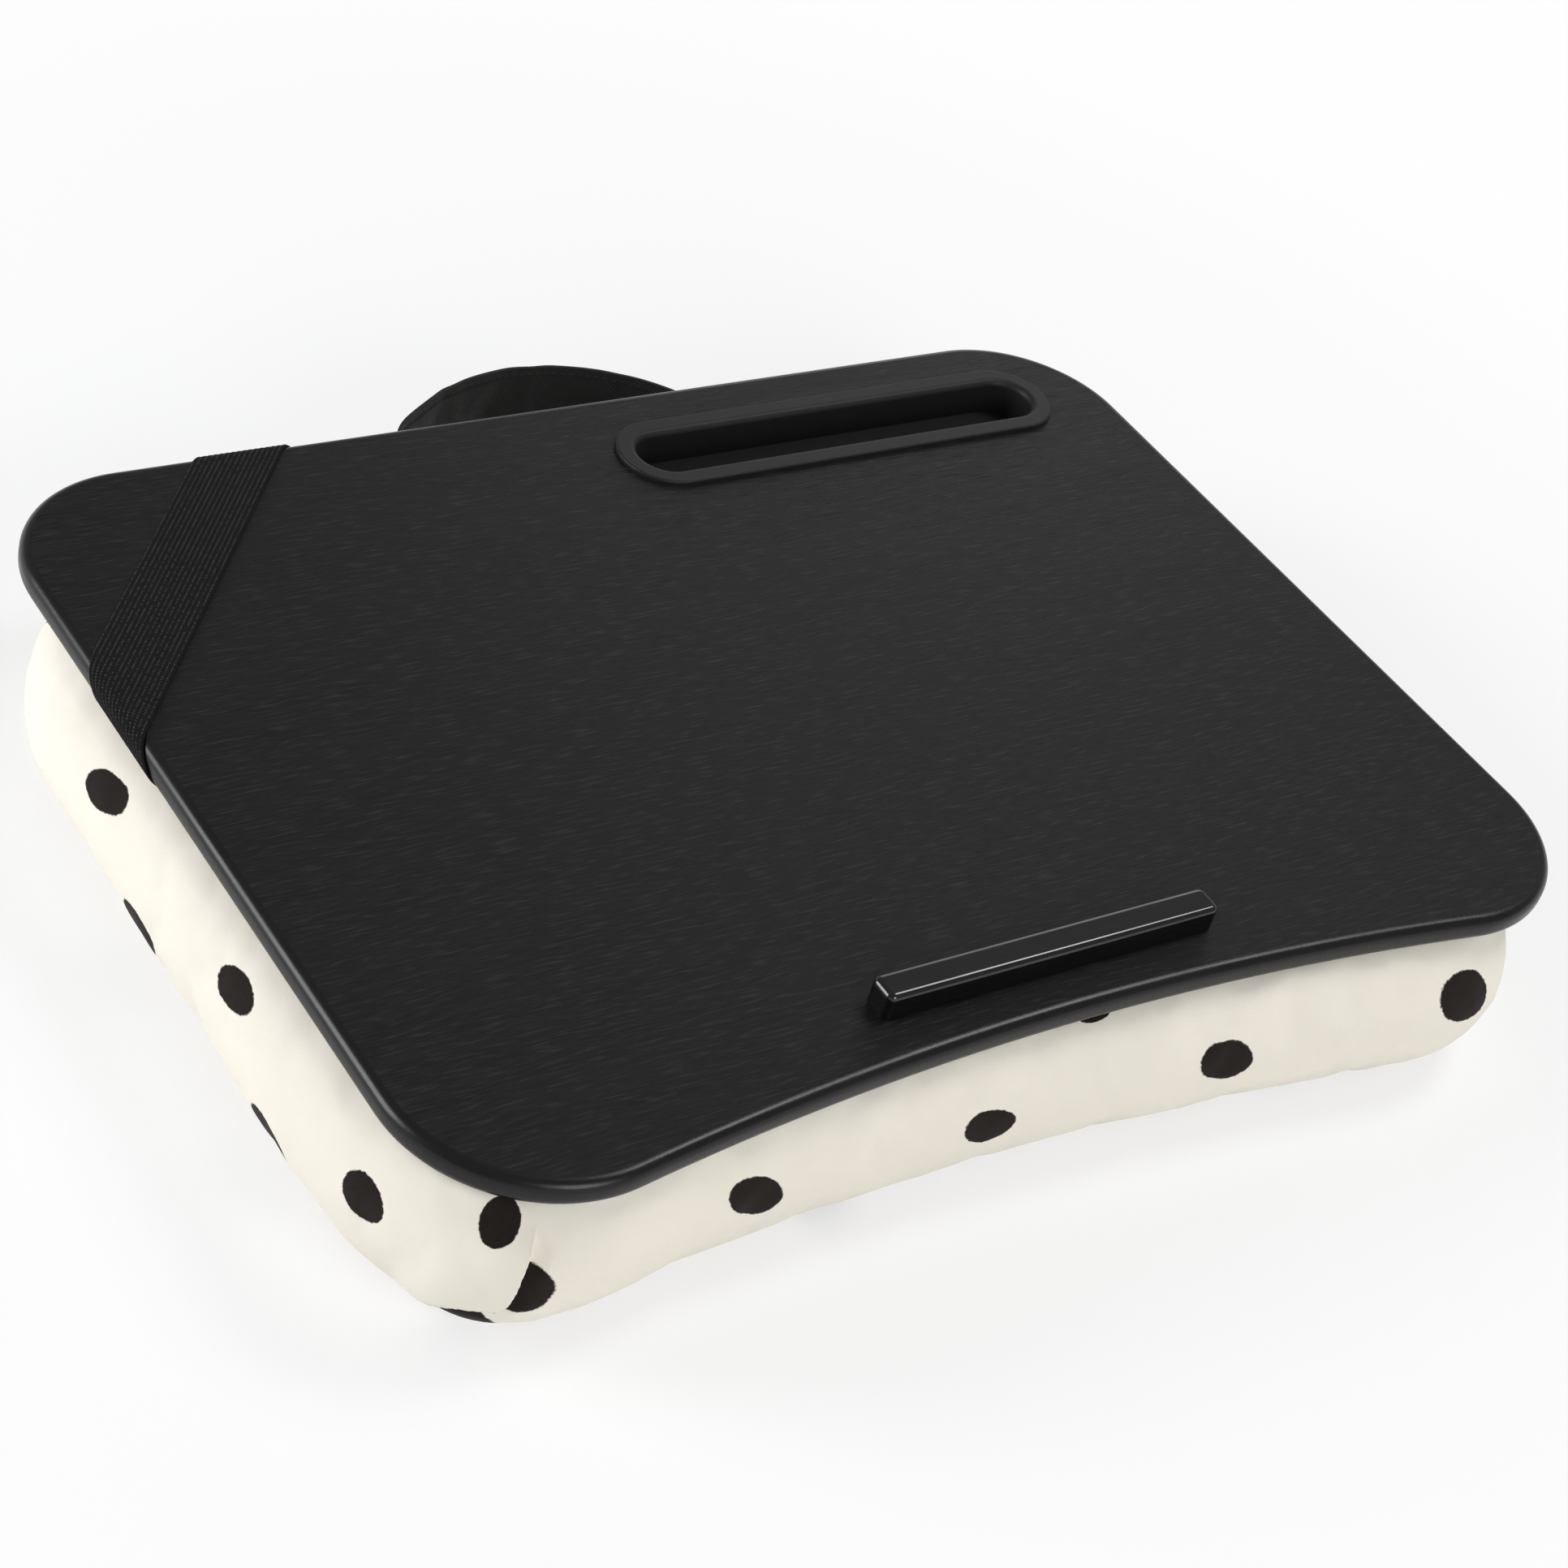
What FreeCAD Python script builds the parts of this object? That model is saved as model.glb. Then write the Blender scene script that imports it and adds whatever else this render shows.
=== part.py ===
import FreeCAD, Part
import math
import os

import Sketcher

# Driving sizes, all in millimetres.
SIZES = {
    # Board: a wave-fronted panel with rounded corners and edges.
    "board_width": 438.0,
    "board_depth": 330.7,
    "board_thickness": 9.0,
    "back_corner_radius": 48.3,
    "front_corner_radius": 49.8,
    "front_wave_radius": 1069.0,
    "edge_round": 3.5,
    "film_thickness": 0.4,
    # Device slot: a moulded tray with a bezel, let into the board.
    "slot_length": 172.5,
    "slot_width": 21.5,
    "slot_back_distance": 36.8,
    "slot_rim": 7.5,
    "slot_rim_height": 1.8,
    "slot_lip_round": 2.4,
    "slot_edge_round": 0.9,
    "slot_wall": 1.6,
    "slot_depth": 12.0,
    "slot_floor": 1.6,
    "slot_clearance": 0.3,
    # Ledge: a moulded bar near the front that stops a device sliding off.
    "ledge_length": 128.0,
    "ledge_depth": 10.6,
    "ledge_height": 9.4,
    "ledge_setback": 27.4,
    "ledge_corner_round": 2.6,
    "ledge_edge_round": 2.0,
    # Countersunk screws that hold the ledge from below.
    "screw_distance": 92.0,
    "screw_diameter": 3.0,
    "screw_head_diameter": 6.0,
    "screw_head_height": 1.8,
    "screw_length": 14.0,
    # Elastic strap across the back left corner, ends under the board.
    "strap_width": 25.4,
    "strap_thickness": 1.5,
    "strap_seat": 8.0,
    "strap_back_tail": 40.0,
    "strap_side_tail": 34.0,
    # Cushion: a stuffed cover, sewn a little to the left, fuller at the front right.
    "cushion_height": 54.5,
    "cushion_left_bulge": 8.0,
    "cushion_right_inset": 9.0,
    "cushion_front_left_bulge": 6.0,
    "cushion_front_right_bulge": 13.0,
    "cushion_back_inset": 7.4,
    "cushion_front_radius": 58.0,
    "cushion_back_radius": 82.0,
    "cushion_base_draw": 25.0,
    # Where the cushion meets the board, measured in from the board's edge.
    "seat_left_inset": 6.0,
    "seat_right_inset": 16.0,
    "seat_front_inset": 6.0,
    "seat_back_inset": 20.0,
    "seat_front_radius": 46.0,
    "seat_back_radius": 70.0,
    "cover_thickness": 1.2,
    "hem_width": 16.0,
    "hem_thickness": 1.2,
    # Wire staples that hold the cover's hem and the strap's tails.
    "staple_width": 12.7,
    "staple_wire": 0.9,
    "staple_leg": 6.0,
    # Carry handle: an upright fabric band bent into a loop behind the board.
    "handle_radius": 76.0,
    "handle_reach": 42.05,
    "handle_band_height": 32.0,
    "handle_band_thickness": 1.8,
    "handle_tab_length": 28.0,
    "handle_tab_overlap": 8.0,
    # Room between soft pieces that touch only lightly.
    "soft_clearance": 0.3,
}

# Levels of the cushion's sections, as shares of its height.
WIDEST_LEVEL_SHARE = 0.5
HANDLE_LEVEL_SHARE = 0.7
LEVEL_SHARES = (0.0, 0.03, 0.11, 0.25, WIDEST_LEVEL_SHARE, HANDLE_LEVEL_SHARE, 1.0)

# A rounded edge takes at most this share of the wall that it sits on.
ROUND_LIMIT_SHARE = 0.45

# Two levels closer than this count as one.
LEVEL_TOLERANCE = 0.0001

# Where the slot's middle lies from the board's, and where the strap crosses the edges
# from the back left corner, as shares of the board's width or depth.
SLOT_CENTRE_SHARE = 0.2226
STRAP_BACK_SHARE = 0.216
STRAP_SIDE_SHARE = 0.3314

# Places of the cover's staples, as shares of the board's width and depth,
# and at the back as shares of the run between the strap's tail and the slot.
FRONT_STAPLE_SHARES = (-0.33, -0.2, -0.07, 0.07, 0.2, 0.33)
SIDE_STAPLE_SHARES = (-0.33, -0.21, -0.09)
BACK_STAPLE_SHARES = (0.1, 0.9)

# Places of the strap's staples, as shares of each tail's length from the edge.
TAIL_STAPLE_SHARES = (0.72, 0.9)

UNDERSIDE = "Sizes.cushion_height"
BOARD_MIDDLE = "(Sizes.cushion_height + Sizes.board_thickness / 2)"
BOARD_TOP = "(Sizes.cushion_height + Sizes.board_thickness)"
BOARD_LEFT = "(-Sizes.board_width / 2)"
BOARD_BACK = "(Sizes.board_depth / 2)"
EDGE_ROUND = f"min(Sizes.edge_round; {ROUND_LIMIT_SHARE} * Sizes.board_thickness)"
SLOT_X = f"({SLOT_CENTRE_SHARE} * Sizes.board_width)"
SLOT_Y = "(Sizes.board_depth / 2 - Sizes.slot_back_distance)"
STRAP_BACK_OFFSET = f"({STRAP_BACK_SHARE} * Sizes.board_width)"
STRAP_SIDE_OFFSET = f"({STRAP_SIDE_SHARE} * Sizes.board_depth)"
STRAP_ANGLE = f"atan2({STRAP_SIDE_OFFSET}; {STRAP_BACK_OFFSET})"
RIBBON_LENGTH = f"({STRAP_BACK_OFFSET} + {STRAP_SIDE_OFFSET} + Sizes.strap_width)"
HEM_BOTTOM = "(Sizes.cushion_height - Sizes.hem_thickness)"
UP = FreeCAD.Vector(0, 0, 1)

doc = FreeCAD.newDocument("LapTray")
sheet = doc.addObject("Spreadsheet::Sheet", "Sizes")
for row, (alias, length) in enumerate(SIZES.items(), start=1):
    sheet.set(f"A{row}", alias)
    sheet.set(f"B{row}", str(length))
    sheet.setAlias(f"B{row}", alias)
doc.recompute()


def number(expression):
    """The value of an expression on the sheet."""
    value = sheet.evalExpression(expression)
    return getattr(value, "Value", value)


def bind(item, **sizes):
    """Tie properties of an object to expressions; a double underscore stands for a dot."""
    for name, expression in sizes.items():
        item.setExpression(name.replace("__", "."), expression)
    return item


def place(item, x="0", y="0", z="0"):
    return bind(item, Placement__Base__x=x, Placement__Base__y=y, Placement__Base__z=z)


# Sketches

def free_sketch(name, level):
    return bind(doc.addObject("Sketcher::SketchObject", name), Placement__Base__z=level)


def body_sketch(body, name, level="0"):
    sketch = body.newObject("Sketcher::SketchObject", name)
    plane = next(item for item in body.Origin.OriginFeatures if item.Role == "XY_Plane")
    sketch.AttachmentSupport = (plane, "")
    sketch.MapMode = "FlatFace"
    return bind(sketch, AttachmentOffset__Base__z=level)


def dimension(sketch, name, expression, kind, *points):
    index = sketch.addConstraint(Sketcher.Constraint(kind, *points, number(expression)))
    sketch.renameConstraint(index, name)
    sketch.setExpression(f"Constraints.{name}", expression)


def arc(x, y, radius, start, end):
    return Part.ArcOfCircle(Part.Circle(FreeCAD.Vector(x, y, 0), UP, radius), start, end)


def line(x1, y1, x2, y2):
    return Part.LineSegment(FreeCAD.Vector(x1, y1, 0), FreeCAD.Vector(x2, y2, 0))


def join_smoothly(sketch, joints):
    for joint in joints:
        sketch.addConstraint(Sketcher.Constraint("Tangent", *joint))


def wave_centre(size):
    """The centre of the hollow front's arc, which touches both front corner arcs."""
    radius = size["front_radius"]
    right = FreeCAD.Vector(size["right"] - radius, radius - size["front_right"], 0)
    left = FreeCAD.Vector(radius - size["left"], radius - size["front_left"], 0)
    across = right - left
    reach = size["wave_radius"] + radius
    drop = math.sqrt(reach ** 2 - (across.Length / 2) ** 2)
    down = FreeCAD.Vector(across.y, -across.x, 0).normalize()
    return (right + left) / 2 + down * drop


def bearing(start, end):
    return math.atan2(end.y - start.y, end.x - start.x)


def draw_outline(sketch, reach):
    """The board's family of outlines: straight back and sides, round corners, a hollow front."""
    size = {key: number(expression) for key, expression in reach.items()}
    left, right, back = size["left"], size["right"], size["back"]
    back_radius, front_radius = size["back_radius"], size["front_radius"]
    corner_right = FreeCAD.Vector(right - front_radius, front_radius - size["front_right"], 0)
    corner_left = FreeCAD.Vector(front_radius - left, front_radius - size["front_left"], 0)
    wave = wave_centre(size)
    quarter, full_turn = math.pi / 2, 2 * math.pi
    sketch.addGeometry([
        arc(wave.x, wave.y, size["wave_radius"], bearing(wave, corner_right), bearing(wave, corner_left)),
        arc(corner_right.x, corner_right.y, front_radius, bearing(corner_right, wave), 0),
        line(right, corner_right.y, right, back - back_radius),
        arc(right - back_radius, back - back_radius, back_radius, 0, quarter),
        line(right - back_radius, back, back_radius - left, back),
        arc(back_radius - left, back - back_radius, back_radius, quarter, math.pi),
        line(-left, back - back_radius, -left, corner_left.y),
        arc(corner_left.x, corner_left.y, front_radius, math.pi, full_turn + bearing(corner_left, wave)),
    ])
    join_smoothly(sketch, [(0, 1, 1, 1), (1, 2, 2, 1), (2, 2, 3, 1), (3, 2, 4, 1),
                           (4, 2, 5, 1), (5, 2, 6, 1), (6, 2, 7, 1), (7, 2, 0, 2)])
    for kind, *edges in (("Vertical", 2), ("Vertical", 6), ("Horizontal", 4),
                         ("Equal", 1, 7), ("Equal", 3, 5)):
        sketch.addConstraint(Sketcher.Constraint(kind, *edges))
    right_corner = f"{reach['front_right']} - {reach['front_radius']}"
    left_corner = f"{reach['front_left']} - {reach['front_radius']}"
    dimension(sketch, "wave_radius", reach["wave_radius"], "Radius", 0)
    dimension(sketch, "front_radius", reach["front_radius"], "Radius", 1)
    dimension(sketch, "back_radius", reach["back_radius"], "Radius", 3)
    dimension(sketch, "right_reach", reach["right"], "DistanceX", -1, 1, 2, 1)
    dimension(sketch, "left_reach", reach["left"], "DistanceX", 6, 1, -1, 1)
    dimension(sketch, "back_reach", reach["back"], "DistanceY", -1, 1, 4, 1)
    dimension(sketch, "right_corner", right_corner, "DistanceY", 1, 3, -1, 1)
    dimension(sketch, "left_corner", left_corner, "DistanceY", 7, 3, -1, 1)
    return sketch


def draw_stadium(sketch, length, width):
    """A slot outline with round ends, centred on the sketch."""
    radius = number(width) / 2
    straight = number(length) / 2 - radius
    quarter = math.pi / 2
    sketch.addGeometry([
        line(-straight, -radius, straight, -radius),
        arc(straight, 0, radius, -quarter, quarter),
        line(straight, radius, -straight, radius),
        arc(-straight, 0, radius, quarter, quarter + math.pi),
    ])
    join_smoothly(sketch, [(0, 2, 1, 1), (1, 2, 2, 1), (2, 2, 3, 1), (3, 2, 0, 1)])
    for kind, *points in (("Horizontal", 0), ("Equal", 1, 3), ("Symmetric", 1, 3, 3, 3, -1, 1)):
        sketch.addConstraint(Sketcher.Constraint(kind, *points))
    dimension(sketch, "end_radius", f"({width}) / 2", "Radius", 1)
    dimension(sketch, "straight_run", f"{length} - ({width})", "DistanceX", 3, 3, 1, 3)
    return sketch


# Features and booleans

def pad(body, sketch, length):
    item = body.newObject("PartDesign::Pad", sketch.Name + "_pad")
    item.Profile = sketch
    return bind(item, Length=length)


def pocket(body, sketch, depth):
    doc.recompute()
    volume_before = body.Shape.Volume
    item = body.newObject("PartDesign::Pocket", sketch.Name + "_pocket")
    item.Profile = sketch
    bind(item, Length=depth)
    doc.recompute()
    if body.Shape.Volume >= volume_before:
        raise RuntimeError(f"{item.Name} cuts nothing")
    return item


def fillet(body, base, radius, chosen):
    """Round the edges of a feature that a test picks out."""
    doc.recompute()
    names = [f"Edge{i}" for i, edge in enumerate(base.Shape.Edges, start=1) if chosen(edge)]
    item = body.newObject("PartDesign::Fillet", base.Name + "_round")
    item.Base = (base, names)
    return bind(item, Radius=radius)


def lies_level(edge, *levels):
    """Whether an edge lies flat at one of the levels."""
    box = edge.BoundBox
    return any(max(abs(box.ZMin - level), abs(box.ZMax - level)) < LEVEL_TOLERANCE for level in levels)


def half_span(edge):
    """How far an edge reaches from the middle line, front or back."""
    return max(-edge.BoundBox.YMin, edge.BoundBox.YMax)


def block(name, length, width, height, x="0", y="0", z="0"):
    item = bind(doc.addObject("Part::Box", name), Length=length, Width=width, Height=height)
    return place(item, x, y, z)


def round_bar(name, radius, height, x="0", y="0", z="0"):
    item = bind(doc.addObject("Part::Cylinder", name), Radius=radius, Height=height)
    return place(item, x, y, z)


def cut(name, base, tool):
    item = doc.addObject("Part::Cut", name)
    item.Base = base
    item.Tool = tool
    return item


def common(name, *shapes):
    item = doc.addObject("Part::MultiCommon", name)
    item.Shapes = list(shapes)
    return item


def fuse(name, *shapes):
    item = doc.addObject("Part::MultiFuse", name)
    item.Shapes = list(shapes)
    return item


def group(name, *shapes):
    item = doc.addObject("Part::Compound", name)
    item.Links = list(shapes)
    return item


# Outlines at a distance from the board's and the cushion's own

def board_reach(grow):
    half_width = f"(Sizes.board_width / 2 + {grow})"
    half_depth = f"(Sizes.board_depth / 2 + {grow})"
    return {
        "left": half_width, "right": half_width, "back": half_depth,
        "front_left": half_depth, "front_right": half_depth,
        "back_radius": f"(Sizes.back_corner_radius + {grow})",
        "front_radius": f"(Sizes.front_corner_radius + {grow})",
        "wave_radius": f"(Sizes.front_wave_radius - ({grow}))",
    }


CUSHION_WIDEST = {
    "left": "(Sizes.board_width / 2 + Sizes.cushion_left_bulge)",
    "right": "(Sizes.board_width / 2 - Sizes.cushion_right_inset)",
    "back": "(Sizes.board_depth / 2 - Sizes.cushion_back_inset)",
    "front_left": "(Sizes.board_depth / 2 + Sizes.cushion_front_left_bulge)",
    "front_right": "(Sizes.board_depth / 2 + Sizes.cushion_front_right_bulge)",
    "back_radius": "Sizes.cushion_back_radius",
    "front_radius": "Sizes.cushion_front_radius",
}
CUSHION_SEAT = {
    "left": "(Sizes.board_width / 2 - Sizes.seat_left_inset)",
    "right": "(Sizes.board_width / 2 - Sizes.seat_right_inset)",
    "back": "(Sizes.board_depth / 2 - Sizes.seat_back_inset)",
    "front_left": "(Sizes.board_depth / 2 - Sizes.seat_front_inset)",
    "front_right": "(Sizes.board_depth / 2 - Sizes.seat_front_inset)",
    "back_radius": "Sizes.seat_back_radius",
    "front_radius": "Sizes.seat_front_radius",
}


def cushion_reach(level_share, grow):
    """The cushion's outline at a level: round below its widest, a gentler bow up to the board."""
    reach = {"wave_radius": f"(Sizes.front_wave_radius - ({grow}))"}
    if level_share <= WIDEST_LEVEL_SHARE:
        drop_share = 1 - level_share / WIDEST_LEVEL_SHARE
        draw_share = 1 - math.sqrt(1 - drop_share ** 2)
        for key, widest in CUSHION_WIDEST.items():
            reach[key] = f"({widest} - {draw_share} * Sizes.cushion_base_draw + {grow})"
        return reach
    draw_share = ((level_share - WIDEST_LEVEL_SHARE) / (1 - WIDEST_LEVEL_SHARE)) ** 2
    for key, widest in CUSHION_WIDEST.items():
        reach[key] = f"({widest} + {draw_share} * ({CUSHION_SEAT[key]} - {widest}) + {grow})"
    return reach


def cushion_loft(name, grow, low, high):
    """The cushion's stuffed form, grown or shrunk, between two levels."""
    sections = []
    for index, level_share in enumerate(LEVEL_SHARES):
        sketch = free_sketch(f"{name}_section_{index}", f"{low} + {level_share} * ({high} - {low})")
        draw_outline(sketch, cushion_reach(level_share, grow))
        sections.append(sketch)
    item = doc.addObject("Part::Loft", name)
    item.Sections = sections
    item.Solid = True
    item.Ruled = True
    return item


# Board and film

def slot_cutout(body, name, level, depth):
    """The hole in the board or film that the device slot's well drops through."""
    sketch = body_sketch(body, name, level)
    bind(sketch, AttachmentOffset__Base__x=SLOT_X, AttachmentOffset__Base__y=SLOT_Y)
    room = "2 * (Sizes.slot_wall + Sizes.slot_clearance)"
    draw_stadium(sketch, f"Sizes.slot_length + {room}", f"Sizes.slot_width + {room}")
    pocket(body, sketch, depth)


def board_blank():
    body = place(doc.addObject("PartDesign::Body", "board_blank"), z=UNDERSIDE)
    outline = draw_outline(body_sketch(body, "board_outline"), board_reach("0"))
    panel = pad(body, outline, "Sizes.board_thickness")
    thickness = number("Sizes.board_thickness")
    fillet(body, panel, EDGE_ROUND, lambda edge: lies_level(edge, 0, thickness))
    recess = body_sketch(body, "film_recess", "Sizes.board_thickness")
    draw_outline(recess, board_reach(f"-{EDGE_ROUND}"))
    pocket(body, recess, "Sizes.film_thickness")
    slot_cutout(body, "board_cutout", "Sizes.board_thickness", "Sizes.board_thickness")
    return body


def film_blank():
    body = place(doc.addObject("PartDesign::Body", "film_blank"), z=f"{BOARD_TOP} - Sizes.film_thickness")
    outline = draw_outline(body_sketch(body, "film_outline"), board_reach(f"-{EDGE_ROUND}"))
    pad(body, outline, "Sizes.film_thickness")
    slot_cutout(body, "film_cutout", "Sizes.film_thickness", "Sizes.film_thickness")
    return body


# Device slot

def device_slot_insert():
    body = doc.addObject("PartDesign::Body", "device_slot_insert")
    place(body, SLOT_X, SLOT_Y, BOARD_TOP)
    bezel = body_sketch(body, "slot_bezel")
    draw_stadium(bezel, "Sizes.slot_length + 2 * Sizes.slot_rim", "Sizes.slot_width + 2 * Sizes.slot_rim")
    pad(body, bezel, "Sizes.slot_rim_height")
    well_height = "Sizes.slot_depth + Sizes.slot_floor"
    well = body_sketch(body, "slot_well", f"-({well_height})")
    draw_stadium(well, "Sizes.slot_length + 2 * Sizes.slot_wall", "Sizes.slot_width + 2 * Sizes.slot_wall")
    pad(body, well, well_height)
    cavity = body_sketch(body, "slot_cavity", "Sizes.slot_rim_height")
    draw_stadium(cavity, "Sizes.slot_length", "Sizes.slot_width")
    hollow = pocket(body, cavity, "Sizes.slot_rim_height + Sizes.slot_depth")
    rim_level = number("Sizes.slot_rim_height")
    mouth = number("Sizes.slot_width / 2 + Sizes.slot_rim / 2")
    lip = fillet(body, hollow, f"min(Sizes.slot_lip_round; {ROUND_LIMIT_SHARE} * Sizes.slot_rim)",
                 lambda edge: lies_level(edge, rim_level) and half_span(edge) < mouth)
    fillet(body, lip, f"min(Sizes.slot_edge_round; {ROUND_LIMIT_SHARE} * Sizes.slot_rim_height)",
           lambda edge: lies_level(edge, rim_level) and half_span(edge) > mouth)
    return body


def well_room():
    """The space under the board that the slot's well takes, with its clearance."""
    body = doc.addObject("PartDesign::Body", "well_room")
    depth = "(Sizes.slot_depth + Sizes.slot_floor + Sizes.soft_clearance)"
    place(body, SLOT_X, SLOT_Y, f"{BOARD_TOP} - {depth}")
    room = "2 * (Sizes.slot_wall + Sizes.soft_clearance)"
    sketch = body_sketch(body, "room_outline")
    draw_stadium(sketch, f"Sizes.slot_length + {room}", f"Sizes.slot_width + {room}")
    pad(body, sketch, depth)
    return body


# Ledge and its screws

def ledge_bar():
    body = doc.addObject("PartDesign::Body", "ledge_bar")
    place(body, "-Sizes.ledge_length / 2", "Sizes.ledge_setback - Sizes.board_depth / 2", BOARD_TOP)
    bar = body.newObject("PartDesign::AdditiveBox", "ledge_box")
    bind(bar, Length="Sizes.ledge_length", Width="Sizes.ledge_depth", Height="Sizes.ledge_height")
    height = number("Sizes.ledge_height")
    upright = fillet(body, bar, f"min(Sizes.ledge_corner_round; {ROUND_LIMIT_SHARE} * Sizes.ledge_depth)",
                     lambda edge: abs(edge.BoundBox.ZLength - height) < LEVEL_TOLERANCE)
    fillet(body, upright, f"min(Sizes.ledge_edge_round; {ROUND_LIMIT_SHARE} * Sizes.ledge_depth)",
           lambda edge: lies_level(edge, height))
    return body


def ledge_screw(name, side):
    x = f"{side} * Sizes.screw_distance / 2"
    y = "Sizes.ledge_setback + Sizes.ledge_depth / 2 - Sizes.board_depth / 2"
    head = bind(doc.addObject("Part::Cone", f"{name}_head"), Radius1="Sizes.screw_head_diameter / 2",
                Radius2="Sizes.screw_diameter / 2", Height="Sizes.screw_head_height")
    place(head, x, y, UNDERSIDE)
    shank = round_bar(f"{name}_shank", "Sizes.screw_diameter / 2", "Sizes.screw_length", x, y, UNDERSIDE)
    return fuse(name, head, shank)


# Elastic strap

def ribbon(name, x, y, angle, low, height):
    """A straight ribbon whose middle line passes a point at an angle."""
    half_length = f"{RIBBON_LENGTH} / 2"
    half_width = "Sizes.strap_width / 2"
    item = block(name, RIBBON_LENGTH, "Sizes.strap_width", height,
                 f"{x} - cos({angle}) * {half_length} + sin({angle}) * {half_width}",
                 f"{y} - sin({angle}) * {half_length} - cos({angle}) * {half_width}", low)
    item.Placement.Rotation = FreeCAD.Rotation(UP, number(angle))
    return bind(item, Placement__Rotation__Angle=angle)


STRAP_MIDDLE_X = f"({BOARD_LEFT} + {STRAP_BACK_OFFSET} / 2)"
STRAP_MIDDLE_Y = f"({BOARD_BACK} - {STRAP_SIDE_OFFSET} / 2)"
STRAP_BACK_X = f"({BOARD_LEFT} + {STRAP_BACK_OFFSET})"
STRAP_SIDE_Y = f"({BOARD_BACK} - {STRAP_SIDE_OFFSET})"
SKIN = "Sizes.strap_thickness"


def strap_form():
    """The board grown by the strap's thickness over its top and edge."""
    body = place(doc.addObject("PartDesign::Body", "strap_form"), z=UNDERSIDE)
    height = f"Sizes.board_thickness + {SKIN}"
    form = pad(body, draw_outline(body_sketch(body, "strap_form_outline"), board_reach(SKIN)), height)
    top = number(height)
    radius = f"{EDGE_ROUND} + {ROUND_LIMIT_SHARE} * {SKIN}"
    fillet(body, form, radius, lambda edge: lies_level(edge, 0, top))
    return body


def strap_span():
    low = f"{BOARD_TOP} + Sizes.soft_clearance"
    band = ribbon("span_ribbon", STRAP_MIDDLE_X, STRAP_MIDDLE_Y, STRAP_ANGLE, low, SKIN)
    seat = "(Sizes.strap_seat + Sizes.soft_clearance)"
    field = block("span_field", "Sizes.board_width - 2 * " + seat, "Sizes.board_depth - 2 * " + seat, SKIN,
                  f"{BOARD_LEFT} + {seat}", f"{seat} - {BOARD_BACK}", low)
    return common("strap_span", band, field)


def strap_tail_ribbon(name, x, y):
    """The ribbon's line under the board, turned back at the edge as a mirror image."""
    return ribbon(name, x, y, f"-{STRAP_ANGLE}", UNDERSIDE, "Sizes.board_thickness / 2")


def strap_end(name, form, tail_ribbon, seat_field, tail_field):
    """One wrapped end: a short stretch on top, the turn round the edge and the tail below."""
    height = f"Sizes.board_thickness / 2 + {SKIN}"
    upper = ribbon(f"{name}_upper_ribbon", STRAP_MIDDLE_X, STRAP_MIDDLE_Y, STRAP_ANGLE,
                   BOARD_MIDDLE, height)
    top_side = common(f"{name}_top_side", form, upper, seat_field)
    under_side = common(f"{name}_under_side", form, tail_ribbon, tail_field)
    return fuse(f"{name}_blank", top_side, under_side)


def edge_fields(name, tail, across_back):
    """Two boxes along an edge: the seat on top, and the tail below it at strap depth."""
    height = f"Sizes.board_thickness + {SKIN}"
    fields = []
    for kind, inward, rise in (("seat", "Sizes.strap_seat", height),
                               ("tail", tail, height), ("recess", tail, SKIN)):
        if across_back:
            item = block(f"{name}_{kind}", "Sizes.board_width", f"{inward} + {SKIN}", rise,
                         BOARD_LEFT, f"{BOARD_BACK} - {inward}", UNDERSIDE)
        else:
            item = block(f"{name}_{kind}", f"{inward} + {SKIN}", "Sizes.board_depth", rise,
                         f"{BOARD_LEFT} - {SKIN}", f"-{BOARD_BACK}", UNDERSIDE)
        fields.append(item)
    return fields


# Staples

def staple(crown_level):
    """One staple: a crown with two legs up into the board."""
    width, wire = number("Sizes.staple_width"), number("Sizes.staple_wire")
    leg = number("Sizes.staple_leg")
    left, middle = -width / 2, -wire / 2
    corner = FreeCAD.Vector(left, middle, crown_level - wire)
    crown = Part.makeBox(width, wire, wire, corner)
    legs = [Part.makeBox(wire, wire, wire + leg, FreeCAD.Vector(x, middle, crown_level - wire))
            for x in (left, -left - wire)]
    return crown.multiFuse(legs).removeSplitter()


def staple_row(name, crown_level, places):
    """A set of staples, each with a place and a turn in degrees."""
    shapes = []
    for x, y, turn in places:
        shape = staple(crown_level)
        shape.Placement = FreeCAD.Placement(FreeCAD.Vector(x, y, 0), FreeCAD.Rotation(UP, turn))
        shapes.append(shape)
    item = doc.addObject("Part::Feature", name)
    item.Shape = Part.makeCompound(shapes)
    return item


def cover_staple_places():
    """Along the middle of the hem: front, both sides and the back."""
    seat = {key: number(expression) for key, expression in cushion_reach(1, "0").items()}
    inset = number("Sizes.hem_width / 2")
    width, depth = number("Sizes.board_width"), number("Sizes.board_depth")
    wave = wave_centre(seat)
    hem_radius = seat["wave_radius"] + inset
    places = []
    for share in FRONT_STAPLE_SHARES:
        x = share * width
        turn = math.asin((x - wave.x) / hem_radius)
        places.append((x, wave.y + hem_radius * math.cos(turn), -math.degrees(turn)))
    for share in SIDE_STAPLE_SHARES:
        places.extend((x, share * depth, 90) for x in (inset - seat["left"], seat["right"] - inset))
    tail_end = number(f"{STRAP_BACK_X} + Sizes.strap_back_tail / tan({STRAP_ANGLE})")
    tail_end += number(f"Sizes.strap_width / 2 / sin({STRAP_ANGLE}) + Sizes.staple_width / 2")
    slot_end = number(f"{SLOT_X} - Sizes.slot_length / 2 - Sizes.slot_wall - Sizes.staple_width")
    for share in BACK_STAPLE_SHARES:
        places.append((tail_end + share * (slot_end - tail_end), seat["back"] - inset, 0))
    return places


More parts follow.
